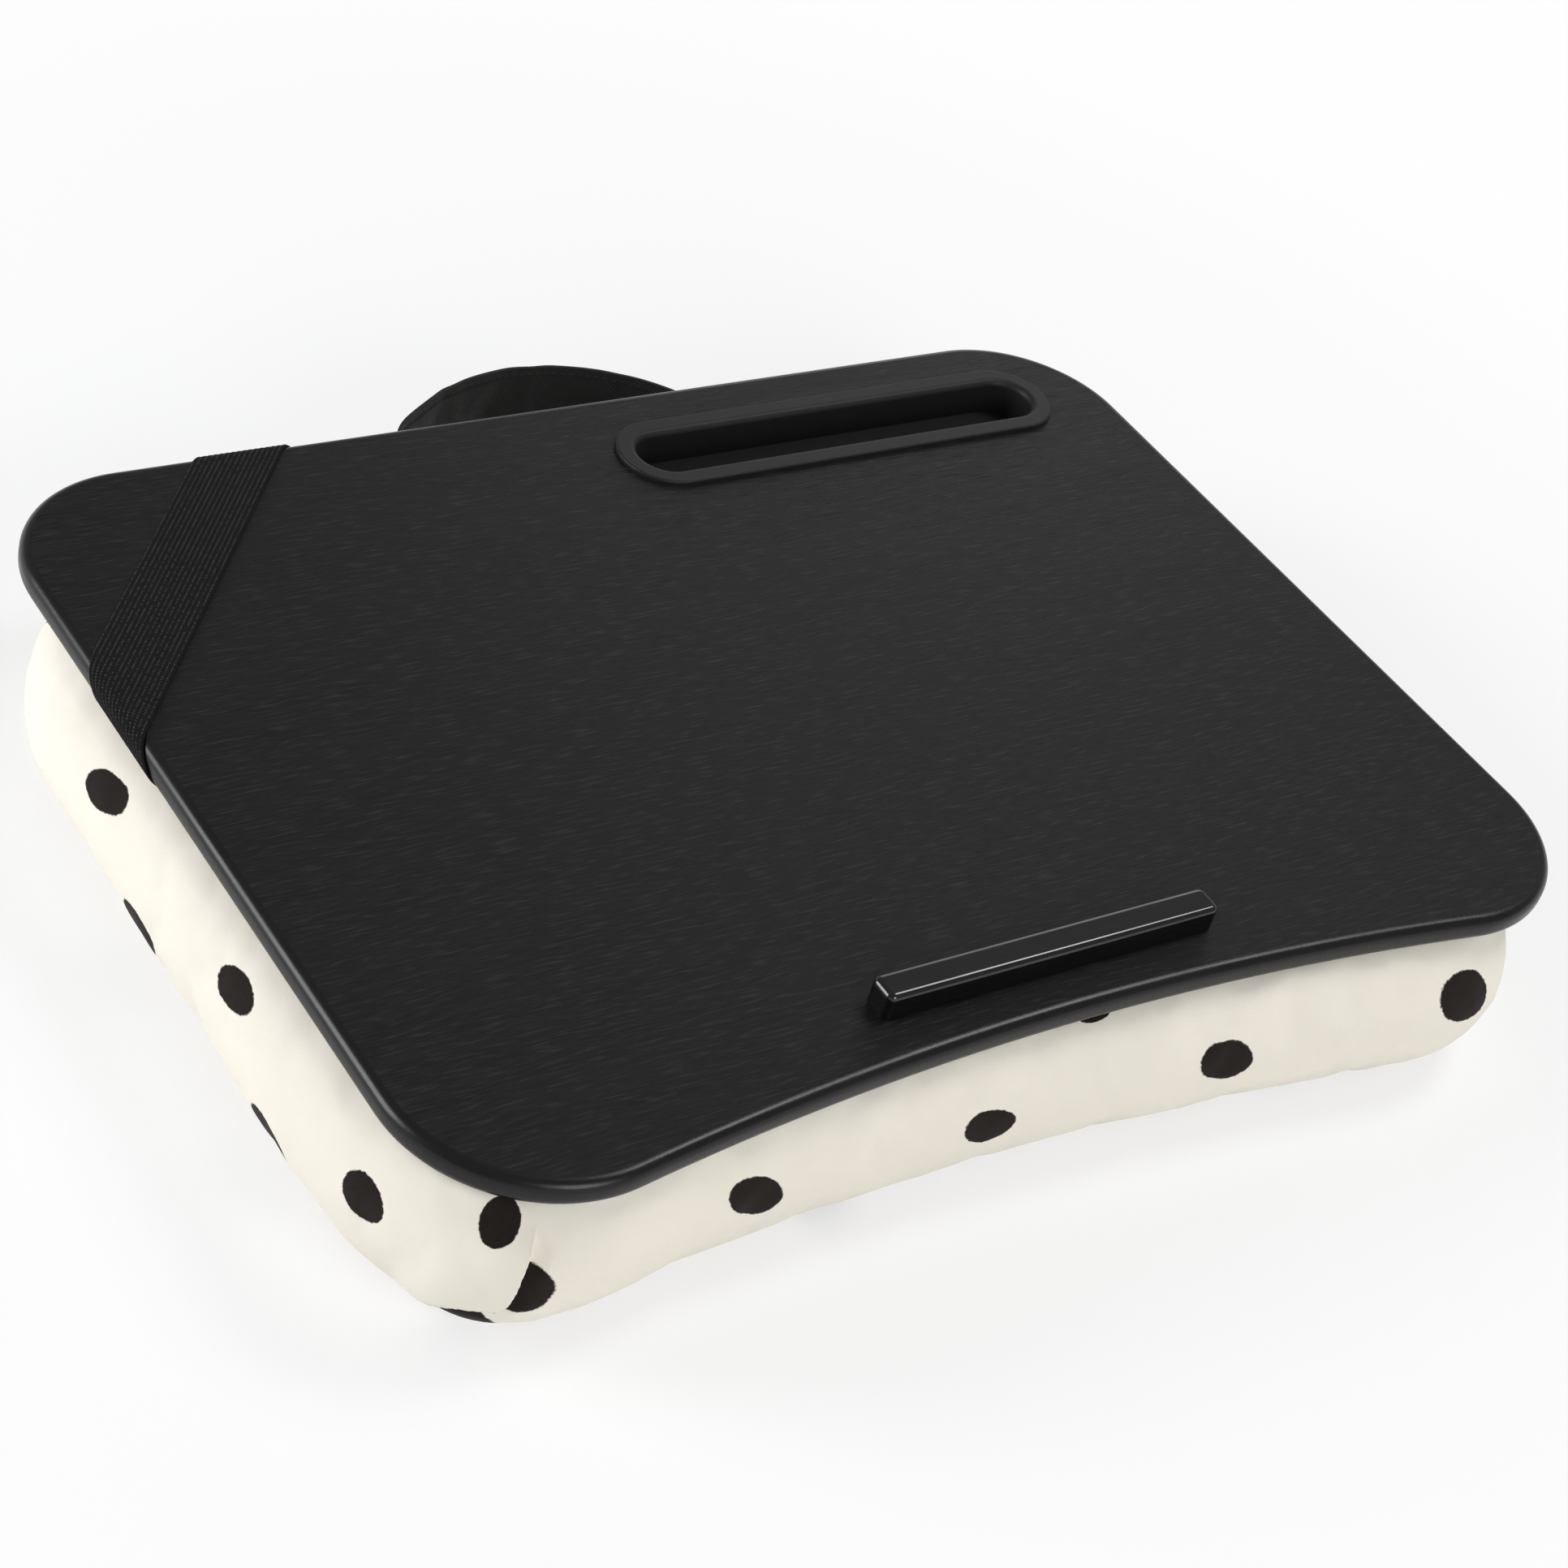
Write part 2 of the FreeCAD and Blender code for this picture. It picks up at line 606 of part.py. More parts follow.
def strap_staple_places():
    """Across each tail, under the board."""
    angle = number(STRAP_ANGLE)
    slope = math.tan(math.radians(angle))
    across = 90 - angle
    places = []
    for share in TAIL_STAPLE_SHARES:
        run = share * number("Sizes.strap_back_tail")
        places.append((number(STRAP_BACK_X) + run / slope, number(BOARD_BACK) - run, across))
        run = share * number("Sizes.strap_side_tail")
        places.append((number(BOARD_LEFT) + run, number(STRAP_SIDE_Y) - run * slope, across))
    return places


# Carry handle

HINGE_Z = f"({HANDLE_LEVEL_SHARE} * Sizes.cushion_height)"
HANDLE_WALL_Y = cushion_reach(HANDLE_LEVEL_SHARE, "0")["back"]
LOOP_END_Y = f"({HANDLE_WALL_Y} + Sizes.handle_band_thickness + Sizes.soft_clearance)"
HINGE_Y = f"({LOOP_END_Y} + Sizes.handle_band_height / 2)"
LOOP_CENTRE_Y = f"({CUSHION_WIDEST['back']} + Sizes.handle_reach - Sizes.handle_radius)"
LOOP_END_X = f"sqrt(Sizes.handle_radius ^ 2 - ({LOOP_END_Y} - {LOOP_CENTRE_Y}) ^ 2)"
BAND_LOW = f"({HINGE_Z} - Sizes.handle_band_height / 2)"


def carry_handle():
    """An upright band bent to an arc, with ends rounded about the line on which it swings."""
    radius, height = "Sizes.handle_radius", "Sizes.handle_band_height"
    inner_radius = f"{radius} - Sizes.handle_band_thickness"
    outside = round_bar("loop_outside", radius, height, y=LOOP_CENTRE_Y, z=BAND_LOW)
    inside = round_bar("loop_inside", inner_radius, height, y=LOOP_CENTRE_Y, z=BAND_LOW)
    outer_field = block("loop_field", f"2 * {radius}", radius, height, f"-{radius}", HINGE_Y, BAND_LOW)
    end_field = round_bar("loop_end_field", f"{height} / 2", f"2 * {radius}",
                          f"-{radius}", HINGE_Y, HINGE_Z)
    end_field.Placement.Rotation = FreeCAD.Rotation(FreeCAD.Vector(0, 1, 0), 90)
    field = fuse("loop_profile", outer_field, end_field)
    return common("carry_handle", cut("loop_ring", outside, inside), field)


def handle_tab(name, side, skin):
    """A sewn end of the band, flat on the cushion's back wall."""
    inner = f"({LOOP_END_X} - Sizes.handle_tab_overlap)"
    length = "(Sizes.handle_tab_overlap + Sizes.handle_tab_length)"
    x = inner if side > 0 else f"-{inner} - {length}"
    field = block(f"{name}_field", length, "Sizes.handle_radius", "Sizes.handle_band_height",
                  x, f"{HANDLE_WALL_Y} - Sizes.handle_radius / 2", BAND_LOW)
    return common(name, skin, field)


# Cushion

def hem_opening():
    """The opening inside the cover's turned-in hem, which the lining closes."""
    body = place(doc.addObject("PartDesign::Body", "hem_opening"), z=HEM_BOTTOM)
    inside = cushion_reach(1, "0 - Sizes.hem_width")
    pad(body, draw_outline(body_sketch(body, "hem_outline"), inside), "Sizes.hem_thickness")
    return body


def bolster(name, x, fill, tools):
    half = block(f"{name}_half", "Sizes.board_width", "2 * Sizes.board_depth", UNDERSIDE,
                 x, "-Sizes.board_depth")
    return cut(name, common(f"{name}_blank", fill, half), tools)


# Assembly

screws = group("ledge_screws", ledge_screw("left_screw", -1), ledge_screw("right_screw", 1))
cover_staples = staple_row("cover_staples", number(HEM_BOTTOM), cover_staple_places())
strap_staples = staple_row("strap_staples", number(UNDERSIDE), strap_staple_places())

back_seat, back_tail, back_recess = edge_fields("back_edge", "Sizes.strap_back_tail", True)
side_seat, side_tail, side_recess = edge_fields("side_edge", "Sizes.strap_side_tail", False)
back_ribbon = strap_tail_ribbon("back_tail_ribbon", STRAP_BACK_X, f"{BOARD_BACK} + {SKIN} / 2")
side_ribbon = strap_tail_ribbon("side_tail_ribbon", f"{BOARD_LEFT} - {SKIN} / 2", STRAP_SIDE_Y)
tail_recesses = group("tail_recesses", common("back_tail_recess", back_ribbon, back_recess),
                      common("side_tail_recess", side_ribbon, side_recess))

fixings = group("fixings", screws, cover_staples, strap_staples)
board_core = cut("board_core", cut("recessed_board", board_blank(), tail_recesses), fixings)
board_top_film = cut("board_top_film", film_blank(), screws)
device_ledge = cut("device_ledge", ledge_bar(), screws)

form = strap_form()
board_mould = group("board_mould", board_core, board_top_film, strap_staples)
back_wrap = strap_end("back_end", form, back_ribbon, back_seat, back_tail)
side_wrap = strap_end("side_end", form, side_ribbon, side_seat, side_tail)
strap_back_end = cut("strap_back_end", back_wrap, board_mould)
strap_side_end = cut("strap_side_end", side_wrap, board_mould)

cushion = cushion_loft("cushion_form", "0", "0", UNDERSIDE)
hollow = cushion_loft("cover_hollow", "0 - Sizes.cover_thickness", "Sizes.cover_thickness", HEM_BOTTOM)
room = well_room()
opening = hem_opening()
hem_field = block("hem_field", "2 * Sizes.board_width", "2 * Sizes.board_depth", "Sizes.hem_thickness",
                  "-Sizes.board_width", "-Sizes.board_depth", HEM_BOTTOM)
cover_shell = cut("cover_shell", cushion, group("cover_tools", hollow, hem_field, room))
hem_tools = group("hem_tools", opening, room, cover_staples, strap_staples)
cover_hem = cut("cover_hem", common("hem_blank", cushion, hem_field), hem_tools)
top_lining = cut("top_lining", opening, group("lining_tools", room, strap_staples))

FILL_INSET = "(Sizes.cover_thickness + Sizes.soft_clearance)"
FILL_TOP = f"({HEM_BOTTOM} - Sizes.staple_wire - Sizes.soft_clearance)"
fill = cushion_loft("fill_form", f"0 - {FILL_INSET}", FILL_INSET, FILL_TOP)
left_fill = bolster("left_bolster_fill", "-Sizes.board_width - Sizes.soft_clearance / 2", fill, room)
right_fill = bolster("right_bolster_fill", "Sizes.soft_clearance / 2", fill, room)

tab_form = cushion_loft("tab_form", "Sizes.handle_band_thickness", "0", UNDERSIDE)
tab_skin = cut("tab_skin", tab_form, cushion)

PARTS = [
    board_core, board_top_film, device_slot_insert(), device_ledge, screws,
    strap_span(), strap_back_end, strap_side_end, strap_staples, carry_handle(),
    handle_tab("handle_left_tab", -1, tab_skin), handle_tab("handle_right_tab", 1, tab_skin),
    cover_shell, cover_hem, cover_staples, top_lining, left_fill, right_fill,
]

doc.recompute()
faults = [item.Name for item in doc.Objects if {"Invalid", "Error"} & set(item.State)]
faults += [item.Name for item in PARTS if item.Shape.isNull() or not item.Shape.isValid()]
if faults:
    raise RuntimeError(f"these objects failed: {faults}")

os.makedirs("parts", exist_ok=True)
for item in PARTS:
    item.Label = item.Name
    item.Shape.exportStep(f"parts/{item.Label}.step")
    print(item.Label, len(item.Shape.Solids), "solids", round(item.Shape.Volume, 1), "mm3")
print("handle swings about y", round(number(HINGE_Y), 3), "z", round(number(HINGE_Z), 3))
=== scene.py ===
# %% [markdown]
# # Lap tray with cushion
# A lap tray is a thin board on a stuffed cushion. This lesson dresses the imported CAD model of one: the
# fittings keep their CAD meshes and get finishes, the board is modelled again with a finer edge, and the
# soft pieces are made again as cloth. The first cell loads the imported model, in metres.

# %% Load the frame
import math

import bpy
import numpy as np
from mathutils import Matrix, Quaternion, Vector
from mathutils.bvhtree import BVHTree


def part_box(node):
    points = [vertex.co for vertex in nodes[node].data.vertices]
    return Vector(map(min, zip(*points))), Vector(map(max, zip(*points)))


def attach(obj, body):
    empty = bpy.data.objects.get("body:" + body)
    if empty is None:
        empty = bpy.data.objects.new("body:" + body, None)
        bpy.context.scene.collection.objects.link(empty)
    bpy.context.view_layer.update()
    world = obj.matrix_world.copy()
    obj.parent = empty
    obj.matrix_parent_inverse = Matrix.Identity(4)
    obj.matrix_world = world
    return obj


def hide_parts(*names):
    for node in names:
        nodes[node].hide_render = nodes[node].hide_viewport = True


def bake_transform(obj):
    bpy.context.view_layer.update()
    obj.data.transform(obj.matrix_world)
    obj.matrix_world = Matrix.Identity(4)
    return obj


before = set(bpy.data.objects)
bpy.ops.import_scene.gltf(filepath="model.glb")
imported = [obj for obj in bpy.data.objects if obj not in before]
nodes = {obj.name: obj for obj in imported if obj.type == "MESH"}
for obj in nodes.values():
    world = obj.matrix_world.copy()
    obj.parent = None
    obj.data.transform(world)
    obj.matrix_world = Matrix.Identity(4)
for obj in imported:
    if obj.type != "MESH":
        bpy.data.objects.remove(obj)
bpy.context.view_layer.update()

MM = 0.001

# %% [markdown]
# ## The camera
# The camera stands in front of the tray's left corner, looks down on it and leans to one side, as in the
# photograph. An angle round the object, an angle above the floor and a roll place it, because those three
# are easier to read and to change than a matrix.

# %% Camera
VIEW_AZIMUTH, VIEW_ELEVATION, VIEW_ROLL = math.radians(-43.851), math.radians(37.778), math.radians(17.634)
VIEW_TARGET = Vector((-34.35, -37.1, 63.5)) * MM
VIEW_DISTANCE = 1.051
SENSOR_WIDTH, LENS = 36, 77.27

back = Vector((math.sin(VIEW_AZIMUTH) * math.cos(VIEW_ELEVATION),
               -math.cos(VIEW_AZIMUTH) * math.cos(VIEW_ELEVATION), math.sin(VIEW_ELEVATION)))
bpy.ops.object.camera_add(location=VIEW_TARGET + back * VIEW_DISTANCE)
camera = bpy.context.object
camera.rotation_mode = "QUATERNION"
camera.rotation_quaternion = Quaternion(back, VIEW_ROLL) @ (-back).to_track_quat("-Z", "Y")
camera.data.sensor_width = SENSOR_WIDTH
camera.data.lens = LENS
bpy.context.scene.camera = camera
print("camera at", [round(x, 3) for x in camera.location])

# %% [markdown]
# ## Sums with sockets
# A shader is a net of small nodes. Written one by one, even a short formula takes a page, so a socket is
# wrapped in a class that knows plus, minus, times and the rest: an expression in Python then adds the
# nodes. A finish is a material with one Principled shader and one method that adds any other node.

# %% Wire and finish
class Wire:
    """An output of a shader node that can be used in sums as a number can."""

    def __init__(self, net, socket):
        self.net, self.socket = net, socket

    def sum(self, operation, *values):
        return self.net.node("Math", {"operation": operation}, dict(enumerate(values)))

    def __add__(self, other):
        return self.sum("ADD", self, other)

    def __sub__(self, other):
        return self.sum("SUBTRACT", self, other)

    def __rsub__(self, other):
        return self.sum("SUBTRACT", other, self)

    def __mul__(self, other):
        return self.sum("MULTIPLY", self, other)

    def __abs__(self):
        return self.sum("ABSOLUTE", self)

    __radd__, __rmul__ = __add__, __mul__

    def wave(self, pitch):
        """A wave from 0 to 1 that repeats at a pitch."""
        return 0.5 + 0.5 * self.sum("SINE", self * (2 * math.pi / pitch))

    def ramp(self, low, high):
        """From 0 at low to 1 at high, and level beyond them."""
        return self.net.node("MapRange", {"interpolation_type": "SMOOTHSTEP"},
                             {"Value": self, "From Min": low, "From Max": high})


class Net:
    """A tree of shader nodes."""

    def __init__(self, tree):
        self.tree = tree

    def node(self, kind, settings=None, sockets=None, out=0):
        """Add a node: its settings first, then the values or links of its sockets."""
        made = self.tree.nodes.new("ShaderNode" + kind)
        for name, value in (settings or {}).items():
            setattr(made, name, value)
        for key, value in (sockets or {}).items():
            if isinstance(value, Wire):
                self.tree.links.new(value.socket, made.inputs[key])
            else:
                made.inputs[key].default_value = value
        return Wire(self, made.outputs[out])

    def seen_rays(self):
        """1 for what the camera sees, straight or in a shiny or clear surface, and 0 for other light."""
        kinds = self.node("LightPath").socket.node.outputs
        seen = ("Is Camera Ray", "Is Glossy Ray", "Is Transmission Ray")
        return sum(Wire(self, kinds[name]) for name in seen)

    def end(self, wire):
        """Lead a shader to the tree's output."""
        output = next(made for made in self.tree.nodes if made.bl_idname.startswith("ShaderNodeOutput"))
        self.tree.links.new(wire.socket, output.inputs["Surface"])


class Finish(Net):
    """A material with one Principled shader."""

    def __init__(self, name, **constants):
        self.material = bpy.data.materials.new(name)
        self.material.use_nodes = True
        super().__init__(self.material.node_tree)
        self.shader = self.tree.nodes["Principled BSDF"]
        for socket, value in constants.items():
            self.shader.inputs[socket.replace("_", " ")].default_value = value

    def feed(self, **wires):
        """Link wires to the shader's sockets."""
        for socket, wire in wires.items():
            self.tree.links.new(wire.socket, self.shader.inputs[socket.replace("_", " ")])

    def place(self):
        """A point's place on the object, in metres."""
        return self.node("TexCoord", out="Object")

    def surface(self, name):
        """A point's place on a UV map."""
        return self.node("UVMap", {"uv_map": name})

    def parts(self, vector):
        """A vector's three numbers."""
        split = self.node("SeparateXYZ", sockets={"Vector": vector}).socket.node
        return [Wire(self, socket) for socket in split.outputs]

    def noise(self, vector, scale, stretch=(1, 1, 1), detail=3.0, roughness=0.5):
        """Noise from 0 to 1; a larger stretch along an axis makes it finer there."""
        stretched = self.node("VectorMath", {"operation": "MULTIPLY"}, {0: vector, 1: stretch})
        return self.node("TexNoise", sockets={"Vector": stretched, "Scale": scale, "Detail": detail,
                                              "Roughness": roughness})

    def mix(self, share, low, high):
        """A colour between two, by a share; the colours are values or wires."""
        return self.node("Mix", {"data_type": "RGBA"}, {0: share, 6: low, 7: high}, out=2)

    def bump(self, height, distance, strength=1.0):
        self.feed(Normal=self.node("Bump", sockets={"Height": height, "Distance": distance,
                                                    "Strength": strength}))


def grey(value, warm=0.0):
    """A grey, a little redder where warm is above 0."""
    return (value * (1 + warm), value, value * (1 - warm), 1)


def wear(finish, *pieces):
    """Give pieces one finish."""
    for piece in pieces:
        piece.data.materials.clear()
        piece.data.materials.append(finish.material)


print("shader helpers are ready")

# %% [markdown]
# ## The board's painted edge
# The board is fibreboard with a smooth, rounded edge under satin black paint. Paint on such an edge is
# never quite even: its gloss drifts over a few centimetres and a fine orange peel breaks up the highlight.

# %% Painted edge
painted_edge = Finish("painted_edge", Specular_IOR_Level=0.28)
spot = painted_edge.place()
drift = painted_edge.noise(spot, 35.0)
peel = painted_edge.noise(spot, 900.0, detail=2.0)
painted_edge.feed(Roughness=0.2 + 0.12 * drift + 0.05 * peel,
                  Base_Color=painted_edge.mix(drift, grey(0.005), grey(0.008, 0.03)))
painted_edge.bump(peel, 0.00006, 0.35)
print("painted edge is ready")

# %% [markdown]
# ## The grained film
# The top is a black film pressed with a wood grain: short pores, all along the board's width, and broad
# figure that only shows as a faint change of gloss. Noise that is stretched along one axis gives both.

# %% Grained film
grained_film = Finish("grained_film", Specular_IOR_Level=0.16)
spot = grained_film.place()
sway = grained_film.noise(spot, 7.0, detail=1.0)
bent = grained_film.node("VectorMath", {"operation": "ADD"}, {
    0: spot, 1: grained_film.node("CombineXYZ", sockets={"Y": 0.006 * sway})})
pores = grained_film.noise(bent, 1.0, (70, 1900, 1), 4.0, 0.6).ramp(0.52, 0.72)
figure = grained_film.noise(bent, 1.0, (9, 160, 1), 2.0).ramp(0.3, 0.7)
streaks = grained_film.noise(bent, 1.0, (100, 950, 1), 2.0).ramp(0.5, 0.75)
tone = grained_film.mix(figure, grey(0.005), grey(0.0065, 0.02))
grained_film.feed(Base_Color=grained_film.mix(0.8 * streaks, tone, grey(0.02, 0.03)),
                  Roughness=0.42 + 0.06 * figure + 0.16 * pores)
grained_film.bump(1 - pores - 0.3 * streaks, 0.0002, 0.35)
print("grained film is ready")

# %% [markdown]
# ## The mouldings
# The slot is moulded with a fine matt texture, and the ledge is polished. The same black plastic looks very
# different for that: the slot scatters the light, the ledge draws it into one bright line along its edge.

# %% Slot and ledge
slot_plastic = Finish("slot_plastic", Specular_IOR_Level=0.25)
spot = slot_plastic.place()
sparkle = slot_plastic.noise(spot, 1500.0, detail=2.0)
cloud = slot_plastic.noise(spot, 30.0)
slot_plastic.feed(Base_Color=slot_plastic.mix(sparkle, grey(0.006), grey(0.015)),
                  Roughness=0.42 + 0.12 * sparkle + 0.06 * cloud)
slot_plastic.bump(sparkle, 0.00012, 0.5)
wear(slot_plastic, nodes["device_slot_insert"])

ledge_plastic = Finish("ledge_plastic", Specular_IOR_Level=0.4, Coat_Roughness=0.08)
spot = ledge_plastic.place()
rub = ledge_plastic.noise(spot, 1.0, (60, 900, 900), 4.0)
ledge_plastic.feed(Base_Color=ledge_plastic.mix(rub, grey(0.003), grey(0.006)),
                   Roughness=0.13 + 0.1 * rub.ramp(0.45, 0.8), Coat_Weight=0.35 - 0.2 * rub.ramp(0.5, 0.8))
wear(ledge_plastic, nodes["device_ledge"])
print("mouldings finished")

# %% [markdown]
# ## Screws and staples
# They are hidden under the board, and are finished all the same, because a part is looked at from all
# sides.

# %% Steel
steel = Finish("zinc_steel", Metallic=1.0)
spot = steel.place()
scratch = steel.noise(spot, 1.0, (900, 900, 200), 3.0)
steel.feed(Base_Color=steel.mix(scratch, grey(0.42), grey(0.6, -0.02)), Roughness=0.28 + 0.2 * scratch)
wear(steel, nodes["ledge_screws"], nodes["strap_staples"], nodes["cover_staples"])
print("steel on screws and staples")

# %% [markdown]
# ## Helpers for pieces
# An operator acts on all that is selected, so one helper selects one piece alone. Another cuts a strip of
# webbing: a flat grid whose UV map is in metres, ready to be laid along a path.

# %% Piece helpers
def alone(piece):
    """Select one piece and nothing else."""
    bpy.ops.object.select_all(action="DESELECT")
    piece.select_set(True)
    bpy.context.view_layer.objects.active = piece


def apply_modifier(piece, kind, **settings):
    """Add a modifier and apply it at once."""
    alone(piece)
    modifier = piece.modifiers.new(kind.lower(), kind)
    for name, value in settings.items():
        setattr(modifier, name, value)
    bpy.ops.object.modifier_apply(modifier=modifier.name)


def cut_strip(name, along, across, length, width):
    """A grid of faces, from -1 to 1 each way, with a UV map in metres."""
    bpy.ops.object.select_all(action="DESELECT")
    bpy.ops.mesh.primitive_grid_add(x_subdivisions=along, y_subdivisions=across, size=2)
    strip = bpy.context.object
    strip.name = strip.data.name = name
    strip.data.uv_layers[0].name = "cloth"
    for corner in strip.data.uv_layers["cloth"].data:
        corner.uv = (corner.uv[0] * length, corner.uv[1] * width)
    return strip


def lay_strip(strip, place):
    """Move each point of a flat strip to where a function puts it."""
    for vertex in strip.data.vertices:
        vertex.co = place(vertex.co.x, vertex.co.y)
    alone(strip)
    bpy.ops.object.shade_smooth()


def smooth_step(value, low, high):
    """From 0 at low to 1 at high, with soft ends."""
    share = np.clip((value - low) / (high - low), 0, 1)
    return share * share * (3 - 2 * share)


print("piece helpers are ready")

# %% [markdown]
# ## The cushion's blank
# The cushion is a cover of cotton, stuffed tight. Its CAD solid is a thin shell, so the blank starts as a
# copy of that mesh: only the faces that look out are kept, the top is closed, and a voxel remesh turns the
# result into even squares that can bend as cloth does. A few rounds of smoothing take the steps of the
# voxels away.

# %% Cushion blank
BOARD_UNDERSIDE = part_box("board_core")[0].z
VOXEL, WELD, LOOK_START = 4.5 * MM, 0.01 * MM, 0.05 * MM

walls = [nodes[name].data for name in ("cover_shell", "cover_hem", "top_lining")]
looks = [BVHTree.FromPolygons([v.co for v in wall.vertices], [tuple(f.vertices) for f in wall.polygons])
         for wall in walls]

bpy.ops.object.select_all(action="DESELECT")
cushion = nodes["cover_shell"].copy()
cushion.data = nodes["cover_shell"].data.copy()
cushion.name = cushion.data.name = "cushion"
cushion.parent = None
for key in list(cushion.keys()):
    del cushion[key]
bpy.context.scene.collection.objects.link(cushion)
hidden = []
for face in cushion.data.polygons:
    start = face.center + face.normal * LOOK_START
    hidden.append(any(look.ray_cast(start, face.normal)[0] is not None for look in looks))
alone(cushion)
bpy.ops.object.mode_set(mode="EDIT")
bpy.ops.mesh.select_mode(type="FACE")
bpy.ops.mesh.select_all(action="DESELECT")
bpy.ops.object.mode_set(mode="OBJECT")
cushion.data.polygons.foreach_set("select", hidden)
bpy.ops.object.mode_set(mode="EDIT")
bpy.ops.mesh.delete(type="FACE")
bpy.ops.mesh.select_all(action="SELECT")
bpy.ops.mesh.remove_doubles(threshold=WELD)
bpy.ops.mesh.select_mode(type="VERT")
bpy.ops.mesh.select_non_manifold(extend=False)
bpy.ops.object.mode_set(mode="OBJECT")
for vertex in cushion.data.vertices:
    if vertex.select:
        vertex.co.z = BOARD_UNDERSIDE
bpy.ops.object.mode_set(mode="EDIT")
bpy.ops.mesh.fill_holes(sides=0)
bpy.ops.mesh.select_all(action="SELECT")
bpy.ops.mesh.normals_make_consistent(inside=False)
bpy.ops.object.mode_set(mode="OBJECT")
apply_modifier(cushion, "REMESH", mode="VOXEL", voxel_size=VOXEL)
apply_modifier(cushion, "SMOOTH", factor=0.5, iterations=8)
print("cushion blank:", len(cushion.data.polygons), "faces, kept", hidden.count(False), "of", len(hidden))

# %% [markdown]
# ## Stuffing the cushion
# The blank's wall is pulled in a little, then blown up from inside by Blender's cloth with pressure and no
# gravity. The base and the rim under the board are held, because they lie on the floor and are stapled. A
# cap on each point's movement keeps the swelling to what the stuffing of the real one gives.

# %% Stuff the cushion
PULL_IN, SWELL_CAP, CLOTH_TO_SPARE = 0.5 * MM, 5.0 * MM, 0.006
HELD_RIM, FREE_WALL, HELD_SHARE = 0.02, 0.2, 0.02
FRAMES = 20


def points_of(mesh):
    flat = np.empty(3 * len(mesh.vertices))
    mesh.vertices.foreach_get("co", flat)
    return flat.reshape(-1, 3)


def put_points(mesh, points):
    mesh.vertices.foreach_set("co", points.ravel())
    mesh.update()


def normals_of(mesh):
    flat = np.empty(3 * len(mesh.vertices))
    mesh.vertices.foreach_get("normal", flat)
    return flat.reshape(-1, 3)


def wall_share(points):
    """From 0 on the base and under the board to 1 on the wall between them."""
    height = points[:, 2] / BOARD_UNDERSIDE
    return smooth_step(height, HELD_RIM, FREE_WALL) * smooth_step(1 - height, HELD_RIM, FREE_WALL)


blank = points_of(cushion.data)
sides = normals_of(cushion.data) * np.array([1, 1, 0])
share = wall_share(blank)
put_points(cushion.data, blank - sides * (PULL_IN * share)[:, None])
held = cushion.vertex_groups.new(name="held")
held.add([int(i) for i in np.flatnonzero(share < HELD_SHARE)], 1.0, "REPLACE")

stuffing = cushion.modifiers.new("stuffing", "CLOTH")
stuffing.settings.quality = 6
stuffing.settings.mass = 0.002
stuffing.settings.shrink_min = -CLOTH_TO_SPARE
stuffing.settings.use_pressure = True
stuffing.settings.uniform_pressure_force = 6.0
stuffing.settings.vertex_group_mass = "held"
stuffing.settings.effector_weights.gravity = 0.0
stuffing.point_cache.frame_start = 1
stuffing.point_cache.frame_end = FRAMES
for step in range(1, FRAMES + 1):
    bpy.context.scene.frame_set(step)
stuffed = points_of(cushion.evaluated_get(bpy.context.evaluated_depsgraph_get()).data)
cushion.modifiers.remove(stuffing)
bpy.context.scene.frame_set(1)
start = points_of(cushion.data)
move = stuffed - start
reach = np.linalg.norm(move, axis=1, keepdims=True)
put_points(cushion.data, start + move * np.minimum(1, SWELL_CAP / np.maximum(reach, 1e-9)))
print("stuffing moved points by up to", round(1000 * float(reach.max()), 1), "mm before the cap")

# %% [markdown]
# ## The corner tuck and the seat of the slot
# At the front left the cover is folded round its corner like a parcel: the side's cloth ends in a soft lobe
# that lies over the front. The points there are made denser first and then pushed out on the lobe and in
# beside it. A stuffed wall is fuller in some places than in others, and under the board the cushion gives
# way to the slot's well.

# %% The fold's line
CORNER = np.array([-169.0, -113.35]) * MM
CORNER_RADIUS = 58 * MM
CORNER_START, CORNER_END, CORNER_CORE, CORNER_TOP = 10 * MM, 92 * MM, 30 * MM, 52 * MM
# Arc length and height, from the top of the fold to its end
FOLD = np.array([[67, 50], [66.1, 42.3], [64.9, 35], [64.1, 29.7], [62.8, 24.2], [59.8, 20.8], [55, 20.4],
                 [48.5, 19.2], [41, 16.4], [32, 13.8]]) * MM


def corner_chart(points):
    """Arc length round the front left corner from its left end, and height."""
    offset = points[:, :2] - CORNER
    turn = np.arctan2(-offset[:, 1], -offset[:, 0])
    return np.stack([turn * CORNER_RADIUS, points[:, 2]], axis=1), np.linalg.norm(offset, axis=1)


def fold_distance(chart):
    """Distance to the fold's line, positive on the lobe."""
    best = np.full(len(chart), 1e9)
    sign = np.ones(len(chart))
    for first, second in zip(FOLD[:-1], FOLD[1:]):
        run = second - first
        along = np.clip(((chart - first) @ run) / (run @ run), 0, 1)
        gap = chart - (first + along[:, None] * run)
        distance = np.linalg.norm(gap, axis=1)
        nearer = distance < best
        best = np.where(nearer, distance, best)
        sign = np.where(nearer, np.sign(run[0] * gap[:, 1] - run[1] * gap[:, 0]), sign)
    return -best * sign


def near_corner(points):
    """Which points lie round the front left corner."""
    chart, radius = corner_chart(points)
    return ((chart[:, 0] > CORNER_START) & (chart[:, 0] < CORNER_END)
            & (radius > CORNER_CORE) & (points[:, 2] < CORNER_TOP))


print("fold has", len(FOLD), "points")

# %% Denser points along the fold
DENSER_WITHIN = (9 * MM, 4 * MM)

